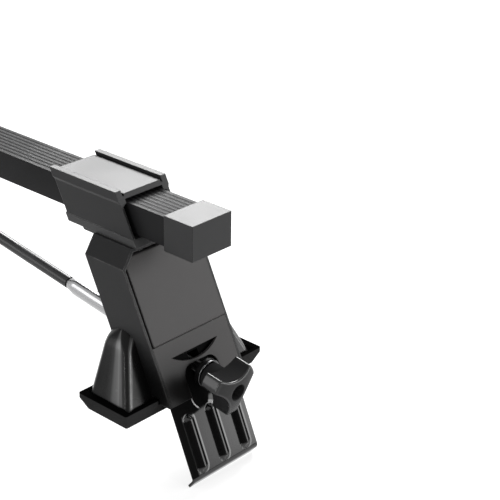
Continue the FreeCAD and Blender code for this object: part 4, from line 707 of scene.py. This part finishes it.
def rounded_corners(corners, radius, steps=6):
    """A closed line through corners, each rounded by a curve P = (1-t)^2 A + 2 t (1-t) C + t^2 B between the
    points A and B at one radius before and after the corner C."""
    corners = np.array(corners, dtype=float)
    before, after = np.roll(corners, 1, axis=0), np.roll(corners, -1, axis=0)
    way_back = (before - corners) / np.linalg.norm(before - corners, axis=1)[:, None]
    way_on = (after - corners) / np.linalg.norm(after - corners, axis=1)[:, None]
    start, end = corners + way_back * radius, corners + way_on * radius
    t = np.linspace(0, 1, steps)[None, :, None]
    line = (1 - t) ** 2 * start[:, None] + 2 * t * (1 - t) * corners[:, None] + t ** 2 * end[:, None]
    return line.reshape(-1, 2)


def outward(line):
    """Unit normals of a closed line that runs against the clock: the chord between its neighbours, turned."""
    chord = np.roll(line, -1, axis=0) - np.roll(line, 1, axis=0)
    normal = np.stack((chord[:, 1], -chord[:, 0]), axis=-1)
    return normal / np.linalg.norm(normal, axis=1)[:, None]


def panel_shell():
    """The panel's outline laid on the tower's leaning front plane, x = front + lean (joint - z), with a wall
    behind it and a rim that rounds in by e (1 - cos t) while it rises by e sin t."""
    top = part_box("tower_right")[1].z * 1000 - RIDE
    bottom, high = SPLIT_DROP + PANEL_BOTTOM_GAP, top - PANEL_TOP_GAP
    fall = SHOULDER_DROP / (TOWER_HALF - SHOULDER_HALF)

    def corners(gap, way):
        half = TOWER_HALF - gap
        level = top - fall * (half - SHOULDER_HALF) - gap * (math.hypot(1, fall) - fall)
        return [(way * half, bottom), (way * half, level), (way * (half - (high - level) / fall), high)]

    line = rounded_corners(corners(PANEL_FAR, 1) + corners(PANEL_NEAR, -1)[::-1], PANEL_CORNER)
    way = outward(line)
    rows = [(line, -PANEL_DEPTH)]
    for step in np.radians(np.linspace(0.0, 90.0, 5)):
        rows.append((line - way * PANEL_EDGE * (1 - math.cos(step)), -PANEL_EDGE * (1 - math.sin(step))))
    rows.append((line - way * (PANEL_EDGE + PANEL_FLAT), 0.0))
    grid = [np.stack((TOWER_FRONT + TOWER_LEAN * (SPLIT_DROP - flat[:, 1]) + depth, *flat.T), axis=-1)
            for flat, depth in rows]
    return Shell().grid(np.stack(grid), close=(0, -1))


# ---------------------------------------------------------------- node helpers

def new_group(name, inputs, outputs):
    """An empty shader group with named sockets. Inputs are (name, kind, default), outputs (name, kind)."""
    group = bpy.data.node_groups.new(name, "ShaderNodeTree")
    for label, kind, default in inputs:
        socket = group.interface.new_socket(name=label, in_out="INPUT", socket_type=f"NodeSocket{kind}")
        if default is not None:
            socket.default_value = default
    for label, kind in outputs:
        group.interface.new_socket(name=label, in_out="OUTPUT", socket_type=f"NodeSocket{kind}")
    return group, group.nodes.new("NodeGroupInput"), group.nodes.new("NodeGroupOutput")


def add(tree, kind, **settings):
    """A node with its properties set."""
    node = tree.nodes.new(f"ShaderNode{kind}")
    for name, value in settings.items():
        setattr(node, name, value)
    return node


def feed(tree, socket, value):
    """Links a socket to another one, or sets it to a constant."""
    if isinstance(value, bpy.types.NodeSocket):
        tree.links.new(value, socket)
    else:
        socket.default_value = value


def math_node(tree, operation, *values, kind="Math", output=0):
    """A Math or Vector Math node fed by sockets or constants; returns its output."""
    node = add(tree, kind, operation=operation)
    for socket, value in zip(node.inputs, values):
        feed(tree, socket, value)
    return node.outputs[output]


def map_range(tree, value, low, high, to_low=0.0, to_high=1.0):
    """A smooth Map Range from a socket; returns its output."""
    node = add(tree, "MapRange", interpolation_type="SMOOTHSTEP")
    for name, fed in (("Value", value), ("From Min", low), ("From Max", high), ("To Min", to_low),
                      ("To Max", to_high)):
        feed(tree, node.inputs[name], fed)
    return node.outputs["Result"]


def noise(tree, place, scale, detail, roughness=0.5):
    """Noise over places, at a scale; returns its output."""
    node = add(tree, "TexNoise")
    for name, fed in (("Vector", place), ("Scale", scale), ("Detail", detail), ("Roughness", roughness)):
        feed(tree, node.inputs[name], fed)
    return node.outputs["Fac"]


def mixed(tree, factor, first, second):
    """The first colour, and the second by a factor, each a socket or a constant; returns its output."""
    node = add(tree, "Mix", data_type="RGBA")
    for name, fed in (("Factor", factor), ("A", first), ("B", second)):
        feed(tree, node.inputs[name], fed)
    return node.outputs["Result"]


def grain_group():
    """Moulded or painted grain: fine noise as a height, and slow noise as a mask for gloss and colour."""
    group, inlet, outlet = new_group(
        "Surface grain",
        [("Vector", "Vector", None), ("Grain Scale", "Float", 2500.0), ("Cloud Scale", "Float", 40.0)],
        [("Height", "Float"), ("Clouds", "Float")])
    fine = noise(group, inlet.outputs["Vector"], inlet.outputs["Grain Scale"], 2.0, 0.6)
    slow = noise(group, inlet.outputs["Vector"], inlet.outputs["Cloud Scale"], 4.0, 0.55)
    feed(group, outlet.inputs["Height"], fine)
    feed(group, outlet.inputs["Clouds"], map_range(group, slow, 0.35, 0.65))
    return group


def wear_and_highlight_group():
    """Edges lighter from use, which also paint light edge highlights: where the rounded normal leaves the true
    one, broken up by noise.
    """
    group, inlet, outlet = new_group(
        "Worn edges",
        [("Vector", "Vector", None), ("Rounded Normal", "Vector", None), ("Scale", "Float", 260.0),
         ("Spread", "Float", 0.35)],
        [("Mask", "Float")])
    true = add(group, "NewGeometry").outputs["True Normal"]
    along = math_node(group, "DOT_PRODUCT", true, inlet.outputs["Rounded Normal"], kind="VectorMath",
                      output="Value")
    edge = map_range(group, math_node(group, "SUBTRACT", 1.0, along), 0.002, 0.03)
    patches = map_range(group, noise(group, inlet.outputs["Vector"], inlet.outputs["Scale"], 5.0), 0.2, 0.65)
    part = math_node(group, "MULTIPLY", edge, patches)
    feed(group, outlet.inputs["Mask"], math_node(group, "MULTIPLY", part, inlet.outputs["Spread"]))
    return group


def brushed_group():
    """Drawn or turned metal: noise stretched along one axis, as a height and a gloss mask."""
    group, inlet, outlet = new_group(
        "Drawn metal",
        [("Vector", "Vector", None), ("Stretch", "Vector", (30.0, 1500.0, 1500.0))],
        [("Height", "Float"), ("Streaks", "Float")])
    scaled = math_node(group, "MULTIPLY", inlet.outputs["Vector"], inlet.outputs["Stretch"],
                       kind="VectorMath", output="Vector")
    lines = noise(group, scaled, 1.0, 3.0)
    feed(group, outlet.inputs["Height"], lines)
    feed(group, outlet.inputs["Streaks"], map_range(group, lines, 0.3, 0.7))
    return group


def painted_shade_group():
    """A soft patch of painted shade on each foot, darker towards its centre: 1 at its centre and 0 at the
    ellipse of its reach, in millimetres across the foot and up from the bar."""
    group, inlet, outlet = new_group(
        "Soft patch",
        [("Vector", "Vector", None), ("Across", "Float", 0.0), ("Up", "Float", -90.0),
         ("Reach Across", "Float", 30.0), ("Reach Up", "Float", 20.0)],
        [("Mask", "Float")])
    parts = add(group, "SeparateXYZ")
    feed(group, parts.inputs[0], inlet.outputs["Vector"])
    side = math_node(group, "SIGN", parts.outputs["X"])
    across = math_node(group, "MULTIPLY", math_node(group, "MULTIPLY", parts.outputs["Y"], side), 1000.0)
    up = math_node(group, "SUBTRACT", math_node(group, "MULTIPLY", parts.outputs["Z"], 1000.0), RIDE)
    shares = []
    for value, centre, reach in ((across, "Across", "Reach Across"), (up, "Up", "Reach Up")):
        away = math_node(group, "SUBTRACT", value, inlet.outputs[centre])
        share = math_node(group, "DIVIDE", away, inlet.outputs[reach])
        shares.append(math_node(group, "MULTIPLY", share, share))
    far = math_node(group, "SQRT", math_node(group, "ADD", *shares))
    feed(group, outlet.inputs["Mask"], map_range(group, far, 0.2, 1.0, 1.0, 0.0))
    return group


GROUPS = {}


def use_group(tree, maker, **values):
    """Places a shader group, built the first time it is asked for. Values are sockets or constants, with
    spaces in their names as underscores."""
    if maker not in GROUPS:
        GROUPS[maker] = maker()
    node = add(tree, "Group", node_tree=GROUPS[maker])
    for name, value in values.items():
        feed(tree, node.inputs[name.replace("_", " ")], value)
    return node


# ---------------------------------------------------------------- materials

# The share darkens the paint at the centre of a patch of painted shade, and the colour of edges from use also
# paints light edge highlights.
WORN_AND_HIGHLIGHT_COLOUR, PAINTED_SHADE_SHARE, BEVEL_SAMPLES = (0.1, 0.1, 0.1), 0.1, 6


def rgba(colour, share=1.0):
    """A colour, lighter or darker by a share, as four numbers."""
    return (*(min(1.0, part * share) for part in colour), 1.0)


def new_material(name, colour, roughness, metallic=0.0, specular=0.5, coat_roughness=0.1):
    """A material with a Principled shader set to its constants; returns material, tree, shader."""
    material = bpy.data.materials.new(name)
    material.use_nodes = True
    material.diffuse_color = rgba(colour)
    tree = material.node_tree
    shader = tree.nodes["Principled BSDF"]
    for socket, value in (("Base Color", rgba(colour)), ("Roughness", roughness), ("Metallic", metallic),
                          ("Specular IOR Level", specular), ("Coat Roughness", coat_roughness)):
        shader.inputs[socket].default_value = value
    return material, tree, shader


def rounded_normal(tree, radius):
    """Normals that run round the piece's edges at a radius, or None without a radius."""
    if not radius:
        return None
    node = add(tree, "Bevel", samples=BEVEL_SAMPLES)
    node.inputs["Radius"].default_value = radius
    return node.outputs["Normal"]


def own_shade(tree):
    """The piece's own attribute, worked out with its surface."""
    return add(tree, "Attribute", attribute_name="shade").outputs["Fac"]


def lay_surface(tree, shader, mask, roughness, swing, height, depth, rounded):
    """Sets a shader's roughness, which swings by a mask, and its normal, a height over rounded normals."""
    gloss = map_range(tree, mask, 0.0, 1.0, roughness - swing, roughness + swing)
    feed(tree, shader.inputs["Roughness"], gloss)
    bump = add(tree, "Bump")
    feed(tree, bump.inputs["Distance"], depth)
    feed(tree, bump.inputs["Height"], height)
    if rounded:
        feed(tree, bump.inputs["Normal"], rounded)
    feed(tree, shader.inputs["Normal"], bump.outputs["Normal"])


def grained(name, colour, roughness, grain=2500.0, depth=0.00002, clouds=40.0, colour_swing=0.12,
            gloss_swing=0.06, edge=0.0004, wear_and_highlight=0.0, painted_shade_patch=None, coated=False, painted_glint=None, **constants):
    """A satin paint or moulded plastic: grain in its height, clouds in its colour and gloss, and lighter edges
    from use that also paint light edge highlights. faded is the centre and reach, across the foot and up, of a
    patch of painted shade. A coated piece has a clear coat as thick as its own attribute says, and takes a
    lighter colour as a painted highlight as that goes from 1 to 2."""
    material, tree, shader = new_material(name, colour, roughness, **constants)
    place = add(tree, "TexCoord").outputs["Object"]
    rounded = rounded_normal(tree, edge)
    surface = use_group(tree, grain_group, Vector=place, Grain_Scale=grain, Cloud_Scale=clouds)
    mask = surface.outputs["Clouds"]
    paint = mixed(tree, mask, rgba(colour, 1 - colour_swing), rgba(colour, 1 + colour_swing))
    # Edges from use, in a lighter colour, which also paint light edge highlights on the tower, bracket and
    # saddle.
    if wear_and_highlight:
        worn_and_lit = use_group(tree, wear_and_highlight_group, Vector=place, Rounded_Normal=rounded, Spread=wear_and_highlight)
        paint = mixed(tree, worn_and_lit.outputs["Mask"], paint, rgba(WORN_AND_HIGHLIGHT_COLOUR))
    # A patch of painted shade: the paint darkens towards its centre.
    if painted_shade_patch:
        (across, up), (reach_across, reach_up) = painted_shade_patch
        patch = use_group(tree, painted_shade_group, Vector=place, Across=across, Up=up, Reach_Across=reach_across,
                          Reach_Up=reach_up)
        paint = mixed(tree, patch.outputs["Mask"], paint, rgba(colour, PAINTED_SHADE_SHARE))
    if coated:
        shade = own_shade(tree)
        feed(tree, shader.inputs["Coat Weight"], map_range(tree, shade, 0.0, 1.0))
        # Past 1 the attribute paints a highlight, turning the colour lighter.
        if painted_glint:
            paint = mixed(tree, map_range(tree, shade, 1.0, 2.0), paint, rgba(painted_glint))
    feed(tree, shader.inputs["Base Color"], paint)
    lay_surface(tree, shader, mask, roughness, gloss_swing, surface.outputs["Height"], depth, rounded)
    return material


def drawn_metal(name, colour, roughness, stretch, depth=0.000004, gloss_swing=0.06, edge=0.0003, painted_shade_colour=None):
    """Bare or plated metal with fine lines along its length. Given a painted shade colour, it takes that
    colour for shade inside recesses, and its own where the piece's attribute is 1."""
    material, tree, shader = new_material(name, colour, roughness, metallic=1.0)
    place = add(tree, "TexCoord").outputs["Object"]
    if painted_shade_colour:
        feed(tree, shader.inputs["Base Color"], mixed(tree, own_shade(tree), rgba(painted_shade_colour), rgba(colour)))
    lines = use_group(tree, brushed_group, Vector=place, Stretch=stretch).outputs
    lay_surface(tree, shader, lines["Streaks"], roughness, gloss_swing, lines["Height"], depth,
                rounded_normal(tree, edge))
    return material


MATERIALS = {}


def finish(name):
    """One of the crossbar's finishes, built the first time it is asked for."""
    if name not in MATERIALS:
        maker, label, colour, roughness, settings = FINISHES[name]
        colour = getattr(colours(), colour) if isinstance(colour, str) else colour
        MATERIALS[name] = maker(label, colour, roughness, **settings)
    return MATERIALS[name]


# Each finish: how it is made, its material's name, its colour or the property that holds it, its roughness
# and what else it has
PAINT = {"grain": 1700.0, "depth": 0.00001, "clouds": 9.0, "gloss_swing": 0.02, "edge": 0.0005, "wear_and_highlight": 0.08}
CLOUDED = {"clouds": 12.0, "colour_swing": 0.06, "gloss_swing": 0.02, "edge": 0.0008, "specular": 0.14}
FINISHES = {
    "tube_steel": (drawn_metal, "Tube steel", (0.42, 0.42, 0.43), 0.38, {"stretch": (20.0, 1200.0, 1200.0)}),
    "plated_steel": (drawn_metal, "Plated steel", (0.5, 0.5, 0.49), 0.3, {"stretch": (900.0, 900.0, 900.0)}),
    "washer_steel": (drawn_metal, "Washer steel", (0.07, 0.07, 0.072), 0.16, {
        "stretch": (900.0, 900.0, 900.0)}),
    # The rod's thread takes a near-black colour as painted shade where it runs inside the tower and the knob.
    "bright_steel": (drawn_metal, "Bright steel", "rod", 0.24, {
        "stretch": (20.0, 900.0, 900.0), "depth": 0.000001, "edge": 0.0, "painted_shade_colour": (0.008, 0.008, 0.008)}),
    "sheath_plastic": (grained, "Sheath plastic", "sheath", 0.42, {
        "grain": 1800.0, "depth": 0.00001, "clouds": 12.0, "edge": 0.0003, "specular": 0.04}),
    "anchor_paint": (grained, "Anchor paint", (0.012, 0.012, 0.012), 0.42, {"wear_and_highlight": 0.25, "specular": 0.12}),
    "cap_plastic": (grained, "Cap plastic", "cap", 0.4, CLOUDED | {
        "grain": 1300.0, "clouds": 14.0, "specular": 0.16}),
    # A larger share of lighter edges on the bracket, saddle and tower paints light highlights along their
    # bends and rims as well as use.
    "bracket_paint": (grained, "Bracket paint", "bracket", 0.4, CLOUDED | {"grain": 1300.0, "wear_and_highlight": 0.35}),
    # The saddle paint is the bracket paint lightened, as painted light against the shade the saddle sits in
    # under the bracket.
    "saddle_paint": (grained, "Saddle paint", (0.036, 0.036, 0.0365), 0.4, CLOUDED | {
        "grain": 1600.0, "depth": 0.00001, "wear_and_highlight": 0.35}),
    "cradle_rubber": (grained, "Cradle rubber", (0.008, 0.008, 0.008), 0.7, {
        "grain": 900.0, "depth": 0.00004, "specular": 0.1}),
    # Patches of painted shade, darker towards their centres: low on the tower's near side, round and under the
    # knob on the cover, on the base beside the tower, and along the pad's top edge under the base.
    "tower_paint": (grained, "Tower paint", "tower", 0.38, PAINT | {
        "clouds": 10.0, "gloss_swing": 0.03, "edge": 0.001, "wear_and_highlight": 0.6, "specular": 0.09,
        "painted_shade_patch": ((-38.0, -102.0), (42.0, 54.0))}),
    "panel_paint": (grained, "Panel paint", "panel", 0.36, PAINT | {"specular": 0.12}),
    "cover_paint": (grained, "Cover paint", "panel", 0.36, PAINT | {
        "specular": 0.1, "painted_shade_patch": ((-25.0, -99.0), (47.0, 33.0))}),
    # The base and hook plate take a lighter colour as painted highlights where their attribute passes 1.
    "base_plastic": (grained, "Base plastic", "base", 0.22, {
        "grain": 1100.0, "depth": 0.00001, "clouds": 14.0, "edge": 0.0005, "specular": 0.12, "coated": True,
        "coat_roughness": 0.28, "painted_glint": (0.3, 0.3, 0.3), "painted_shade_patch": ((-33.0, -100.0), (24.0, 60.0))}),
    "pad_rubber": (grained, "Pad rubber", "pad", 0.55, {
        "grain": 900.0, "depth": 0.00003, "clouds": 16.0, "edge": 0.0008, "specular": 0.0,
        "painted_shade_patch": ((0.0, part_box("pad_right")[1].z * 1000 - RIDE), (900.0, 0.6))}),
    "hook_paint": (grained, "Hook paint", "hook", 0.1, {
        "grain": 700.0, "depth": 0.000004, "clouds": 12.0, "gloss_swing": 0.03, "edge": 0.0003, "wear_and_highlight": 0.05,
        "specular": 0.0, "coated": True, "coat_roughness": 0.08, "painted_glint": (0.5, 0.5, 0.5)}),
    "sleeve_plastic": (grained, "Sleeve plastic", (0.026, 0.026, 0.027), 0.28, {
        "grain": 400.0, "depth": 0.000002, "edge": 0.0, "specular": 0.24}),
    "seat_plastic": (grained, "Ball plastic", (0.003, 0.003, 0.003), 0.4, {
        "grain": 1200.0, "specular": 0.04}),
    "knob_plastic": (grained, "Knob plastic", "knob", 0.3, {
        "grain": 1300.0, "depth": 0.000008, "clouds": 16.0, "edge": 0.0004, "specular": 0.0, "coated": True,
        "coat_roughness": 0.16}),
}


def dress(node_name, finish_name):
    """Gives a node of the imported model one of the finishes."""
    node = frame["nodes"][node_name]
    node.data.materials.clear()
    node.data.materials.append(finish(finish_name))


def dress_pair(stem, finish_name):
    """Dresses a piece of both feet."""
    for side in SIDES:
        dress(f"{stem}_{side}", finish_name)


def shape_pair(stem, maker, finish_name, body, name):
    """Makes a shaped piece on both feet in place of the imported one."""
    return [maker().piece(f"{name}_{side}", side, f"{body}_{side}", finish_name, [f"{stem}_{side}"])
            for side in SIDES]


PLATE_BEVEL, BEVEL_ANGLE = 0.0003, math.radians(60)


# ---------------------------------------------------------------- operators

class CROSSBAR_OT_bar(Operator):
    """Dresses the bar, its sheath, caps and centre anchor"""
    bl_idname = "crossbar.bar"
    bl_label = "Bar"

    def execute(self, context):
        dress("bar_tube", "tube_steel")
        sheath_shell().piece("ribbed_sheath", "right", "bar", "sheath_plastic", ["bar_sheath"])
        dress("centre_anchor", "anchor_paint")
        dress("anchor_screws", "plated_steel")
        dress_pair("end_cap", "cap_plastic")
        return {"FINISHED"}


class CROSSBAR_OT_clamp(Operator):
    """Dresses the bracket, cradle, saddle and their screws on each foot"""
    bl_idname = "crossbar.clamp"
    bl_label = "Clamp"

    def execute(self, context):
        dress_pair("bracket", "bracket_paint")
        dress_pair("bar_cradle", "cradle_rubber")
        dress_pair("saddle", "saddle_paint")
        dress_pair("saddle_screws", "plated_steel")
        return {"FINISHED"}


class CROSSBAR_OT_tower(Operator):
    """Dresses the tower, its panel and its cover on each foot"""
    bl_idname = "crossbar.tower"
    bl_label = "Tower"

    def execute(self, context):
        dress_pair("tower", "tower_paint")
        shape_pair("front_panel", panel_shell, "panel_paint", "foot", "tray_panel")
        dress_pair("lower_cover", "cover_paint")
        return {"FINISHED"}


class CROSSBAR_OT_foot(Operator):
    """Dresses the base and its pad on each foot"""
    bl_idname = "crossbar.foot"
    bl_label = "Base and pad"

    def execute(self, context):
        shape_pair("base", base_shell, "base_plastic", "foot", "moulded_base")
        dress_pair("base_screws", "plated_steel")
        dress_pair("pad", "pad_rubber")
        return {"FINISHED"}


class CROSSBAR_OT_hook(Operator):
    """Dresses the hook plate and its pin on each foot"""
    bl_idname = "crossbar.hook"
    bl_label = "Hook plate"

    def execute(self, context):
        for plate in shape_pair("hook_plate", hook_shell, "hook_paint", "hook", "pressed_plate"):
            bevel = plate.modifiers.new("bevel", "BEVEL")
            bevel.width, bevel.segments = PLATE_BEVEL, 2
            bevel.limit_method, bevel.angle_limit = "ANGLE", BEVEL_ANGLE
        dress_pair("hook_pin", "plated_steel")
        return {"FINISHED"}


class CROSSBAR_OT_rod(Operator):
    """Dresses the tension rod, its sleeve, pin, seat and washer on each foot"""
    bl_idname = "crossbar.rod"
    bl_label = "Tension rod"

    def execute(self, context):
        shape_pair("tension_rod", rod_shell, "bright_steel", "foot", "threaded_rod")
        shape_pair("rod_sleeve", sleeve_shell, "sleeve_plastic", "foot", "rod_tube")
        dress_pair("rod_pin", "plated_steel")
        shape_pair("thrust_seat", seat_shell, "seat_plastic", "seat", "half_ball")
        shape_pair("washer", washer_shell, "washer_steel", "seat", "rimmed_washer")
        return {"FINISHED"}


class CROSSBAR_OT_knob(Operator):
    """Dresses the hand knob on each foot"""
    bl_idname = "crossbar.knob"
    bl_label = "Hand knob"

    def execute(self, context):
        shape_pair("knob", knob_shell, "knob_plastic", "hand_knob", "lobed_knob")
        dress_pair("knob_insert", "plated_steel")
        return {"FINISHED"}


# ---------------------------------------------------------------- stage

WHITE, LAMP_TARGET = (1.0, 1.0, 1.0, 1.0), (0.58, 0.0, 0.1)
# Each lamp's name, place, width and height, and the property that holds its power
LAMPS = (("back_light", (-0.6, 1.6, 1.5), (1.6, 1.0), "back"),
         ("right_light", (2.4, 1.6, 0.7), (1.6, 1.2), "right"),
         ("left_light", (-0.8, -2.0, 0.9), (1.6, 1.2), "left"),
         ("front_strip", (2.58, 0.0, 0.5), (0.12, 1.2), "strips"),
         ("side_strip", (0.58, -2.0, 0.5), (0.12, 1.2), "strips"))
FLOOR_HALF, FLOOR_DROP, FLOOR_COLOUR, FLOOR_ROUGHNESS = 12.0, 0.0005, (0.92, 0.92, 0.92), 0.9
FLOOR_GLOW, GLOW_SHARE = 1.25, 0.6


def area_light(name, place, size, power):
    """A rectangular soft white lamp at a place, turned to the near foot."""
    data = bpy.data.lights.new(name, "AREA")
    data.shape = "RECTANGLE"
    data.size, data.size_y = size
    data.energy = power
    lamp = bpy.data.objects.new(name, data)
    bpy.context.scene.collection.objects.link(lamp)
    lamp.location = place
    lamp.rotation_euler = (Vector(LAMP_TARGET) - Vector(place)).to_track_quat("-Z", "Y").to_euler()


def seen_ray(tree):
    """1 for a ray from the camera, off a glossy surface or through a clear one, and 0 for any other."""
    path = add(tree, "LightPath")
    seen = math_node(tree, "MAXIMUM", path.outputs["Is Camera Ray"], path.outputs["Is Glossy Ray"])
    return math_node(tree, "MAXIMUM", seen, path.outputs["Is Transmission Ray"])


def blend_shaders(tree, factor, first, second, output):
    """Feeds an output with the first shader, and the second by a factor."""
    mix = add(tree, "MixShader")
    for socket, fed in zip(mix.inputs, (factor, first, second)):
        feed(tree, socket, fed)
    feed(tree, output.inputs["Surface"], mix.outputs["Shader"])


def make_floor():
    """A wide pale floor under the crossbar that keeps its shadow."""
    mesh = bpy.data.meshes.new("floor")
    mesh.from_pydata([(x * FLOOR_HALF, y * FLOOR_HALF, 0.0) for x, y in ((-1, -1), (1, -1), (1, 1), (-1, 1))],
                     [], [(0, 1, 2, 3)])
    floor = bpy.data.objects.new("floor", mesh)
    bpy.context.scene.collection.objects.link(floor)
    floor.location.z = CAD_BOX[0].z - FLOOR_DROP
    material, tree, shader = new_material("Floor", FLOOR_COLOUR, FLOOR_ROUGHNESS, specular=0.0)
    glow = add(tree, "Emission")
    feed(tree, glow.inputs["Color"], WHITE)
    feed(tree, glow.inputs["Strength"], FLOOR_GLOW)
    lit = math_node(tree, "MULTIPLY", seen_ray(tree), GLOW_SHARE)
    blend_shaders(tree, lit, shader.outputs["BSDF"], glow.outputs["Emission"], tree.nodes["Material Output"])
    mesh.materials.append(material)


def light_world():
    """A white world for the camera and reflections that lights the piece more softly."""
    world = bpy.data.worlds.new("studio")
    bpy.context.scene.world = world
    world.use_nodes = True
    tree = world.node_tree
    soft, white = tree.nodes["Background"], add(tree, "Background")
    for node, strength in ((soft, bpy.context.scene.crossbar_light.world), (white, 1.0)):
        feed(tree, node.inputs["Color"], WHITE)
        feed(tree, node.inputs["Strength"], strength)
    blend_shaders(tree, seen_ray(tree), soft.outputs["Background"], white.outputs["Background"],
                  tree.nodes["World Output"])


def make_camera():
    """The picture's camera, at its place and turned by the directions of its right and up."""
    data = bpy.data.cameras.new("picture")
    data.sensor_width = SENSOR
    data.lens = FOCAL_PIXELS / PICTURE_PIXELS * SENSOR
    data.clip_start, data.clip_end = 0.05, 50.0
    camera = bpy.data.objects.new("picture", data)
    bpy.context.scene.collection.objects.link(camera)
    turn = Matrix((VIEW_RIGHT, VIEW_UP, VIEW_RIGHT.cross(VIEW_UP))).transposed().to_4x4()
    camera.matrix_world = Matrix.Translation(VIEW_PLACE) @ turn
    bpy.context.scene.camera = camera


class CROSSBAR_OT_stage(Operator):
    """Makes the floor, the lights, the world and the camera"""
    bl_idname = "crossbar.stage"
    bl_label = "Stage"

    def execute(self, context):
        make_floor()
        light_world()
        for name, place, size, power in LAMPS:
            area_light(name, place, size, getattr(context.scene.crossbar_light, power))
        make_camera()
        context.scene.view_settings.view_transform = "Standard"
        return {"FINISHED"}


class CROSSBAR_PT_panel(Panel):
    """Lists the crossbar's pieces"""
    bl_label = "Roof rack crossbar"
    bl_space_type = "VIEW_3D"
    bl_region_type = "UI"
    bl_category = "Crossbar"

    def draw(self, context):
        for operator in OPERATORS:
            self.layout.operator(operator.bl_idname)
        for name, group in PROPERTY_GROUPS.items():
            box = self.layout.box()
            for field in group.__annotations__:
                box.prop(getattr(context.scene, name), field)


OPERATORS = (CROSSBAR_OT_bar, CROSSBAR_OT_clamp, CROSSBAR_OT_tower, CROSSBAR_OT_foot, CROSSBAR_OT_hook,
             CROSSBAR_OT_rod, CROSSBAR_OT_knob, CROSSBAR_OT_stage)
CLASSES = (*PROPERTY_GROUPS.values(), *OPERATORS, CROSSBAR_PT_panel)


def register():
    for item in CLASSES:
        bpy.utils.register_class(item)
    for name, group in PROPERTY_GROUPS.items():
        setattr(bpy.types.Scene, name, PointerProperty(type=group))


def unregister():
    for name in PROPERTY_GROUPS:
        delattr(bpy.types.Scene, name)
    for item in reversed(CLASSES):
        bpy.utils.unregister_class(item)


def main():
    """Builds every piece and the stage."""
    register()
    for operator in OPERATORS:
        group, name = operator.bl_idname.split(".")
        getattr(getattr(bpy.ops, group), name)()


if __name__ == "__main__":
    main()
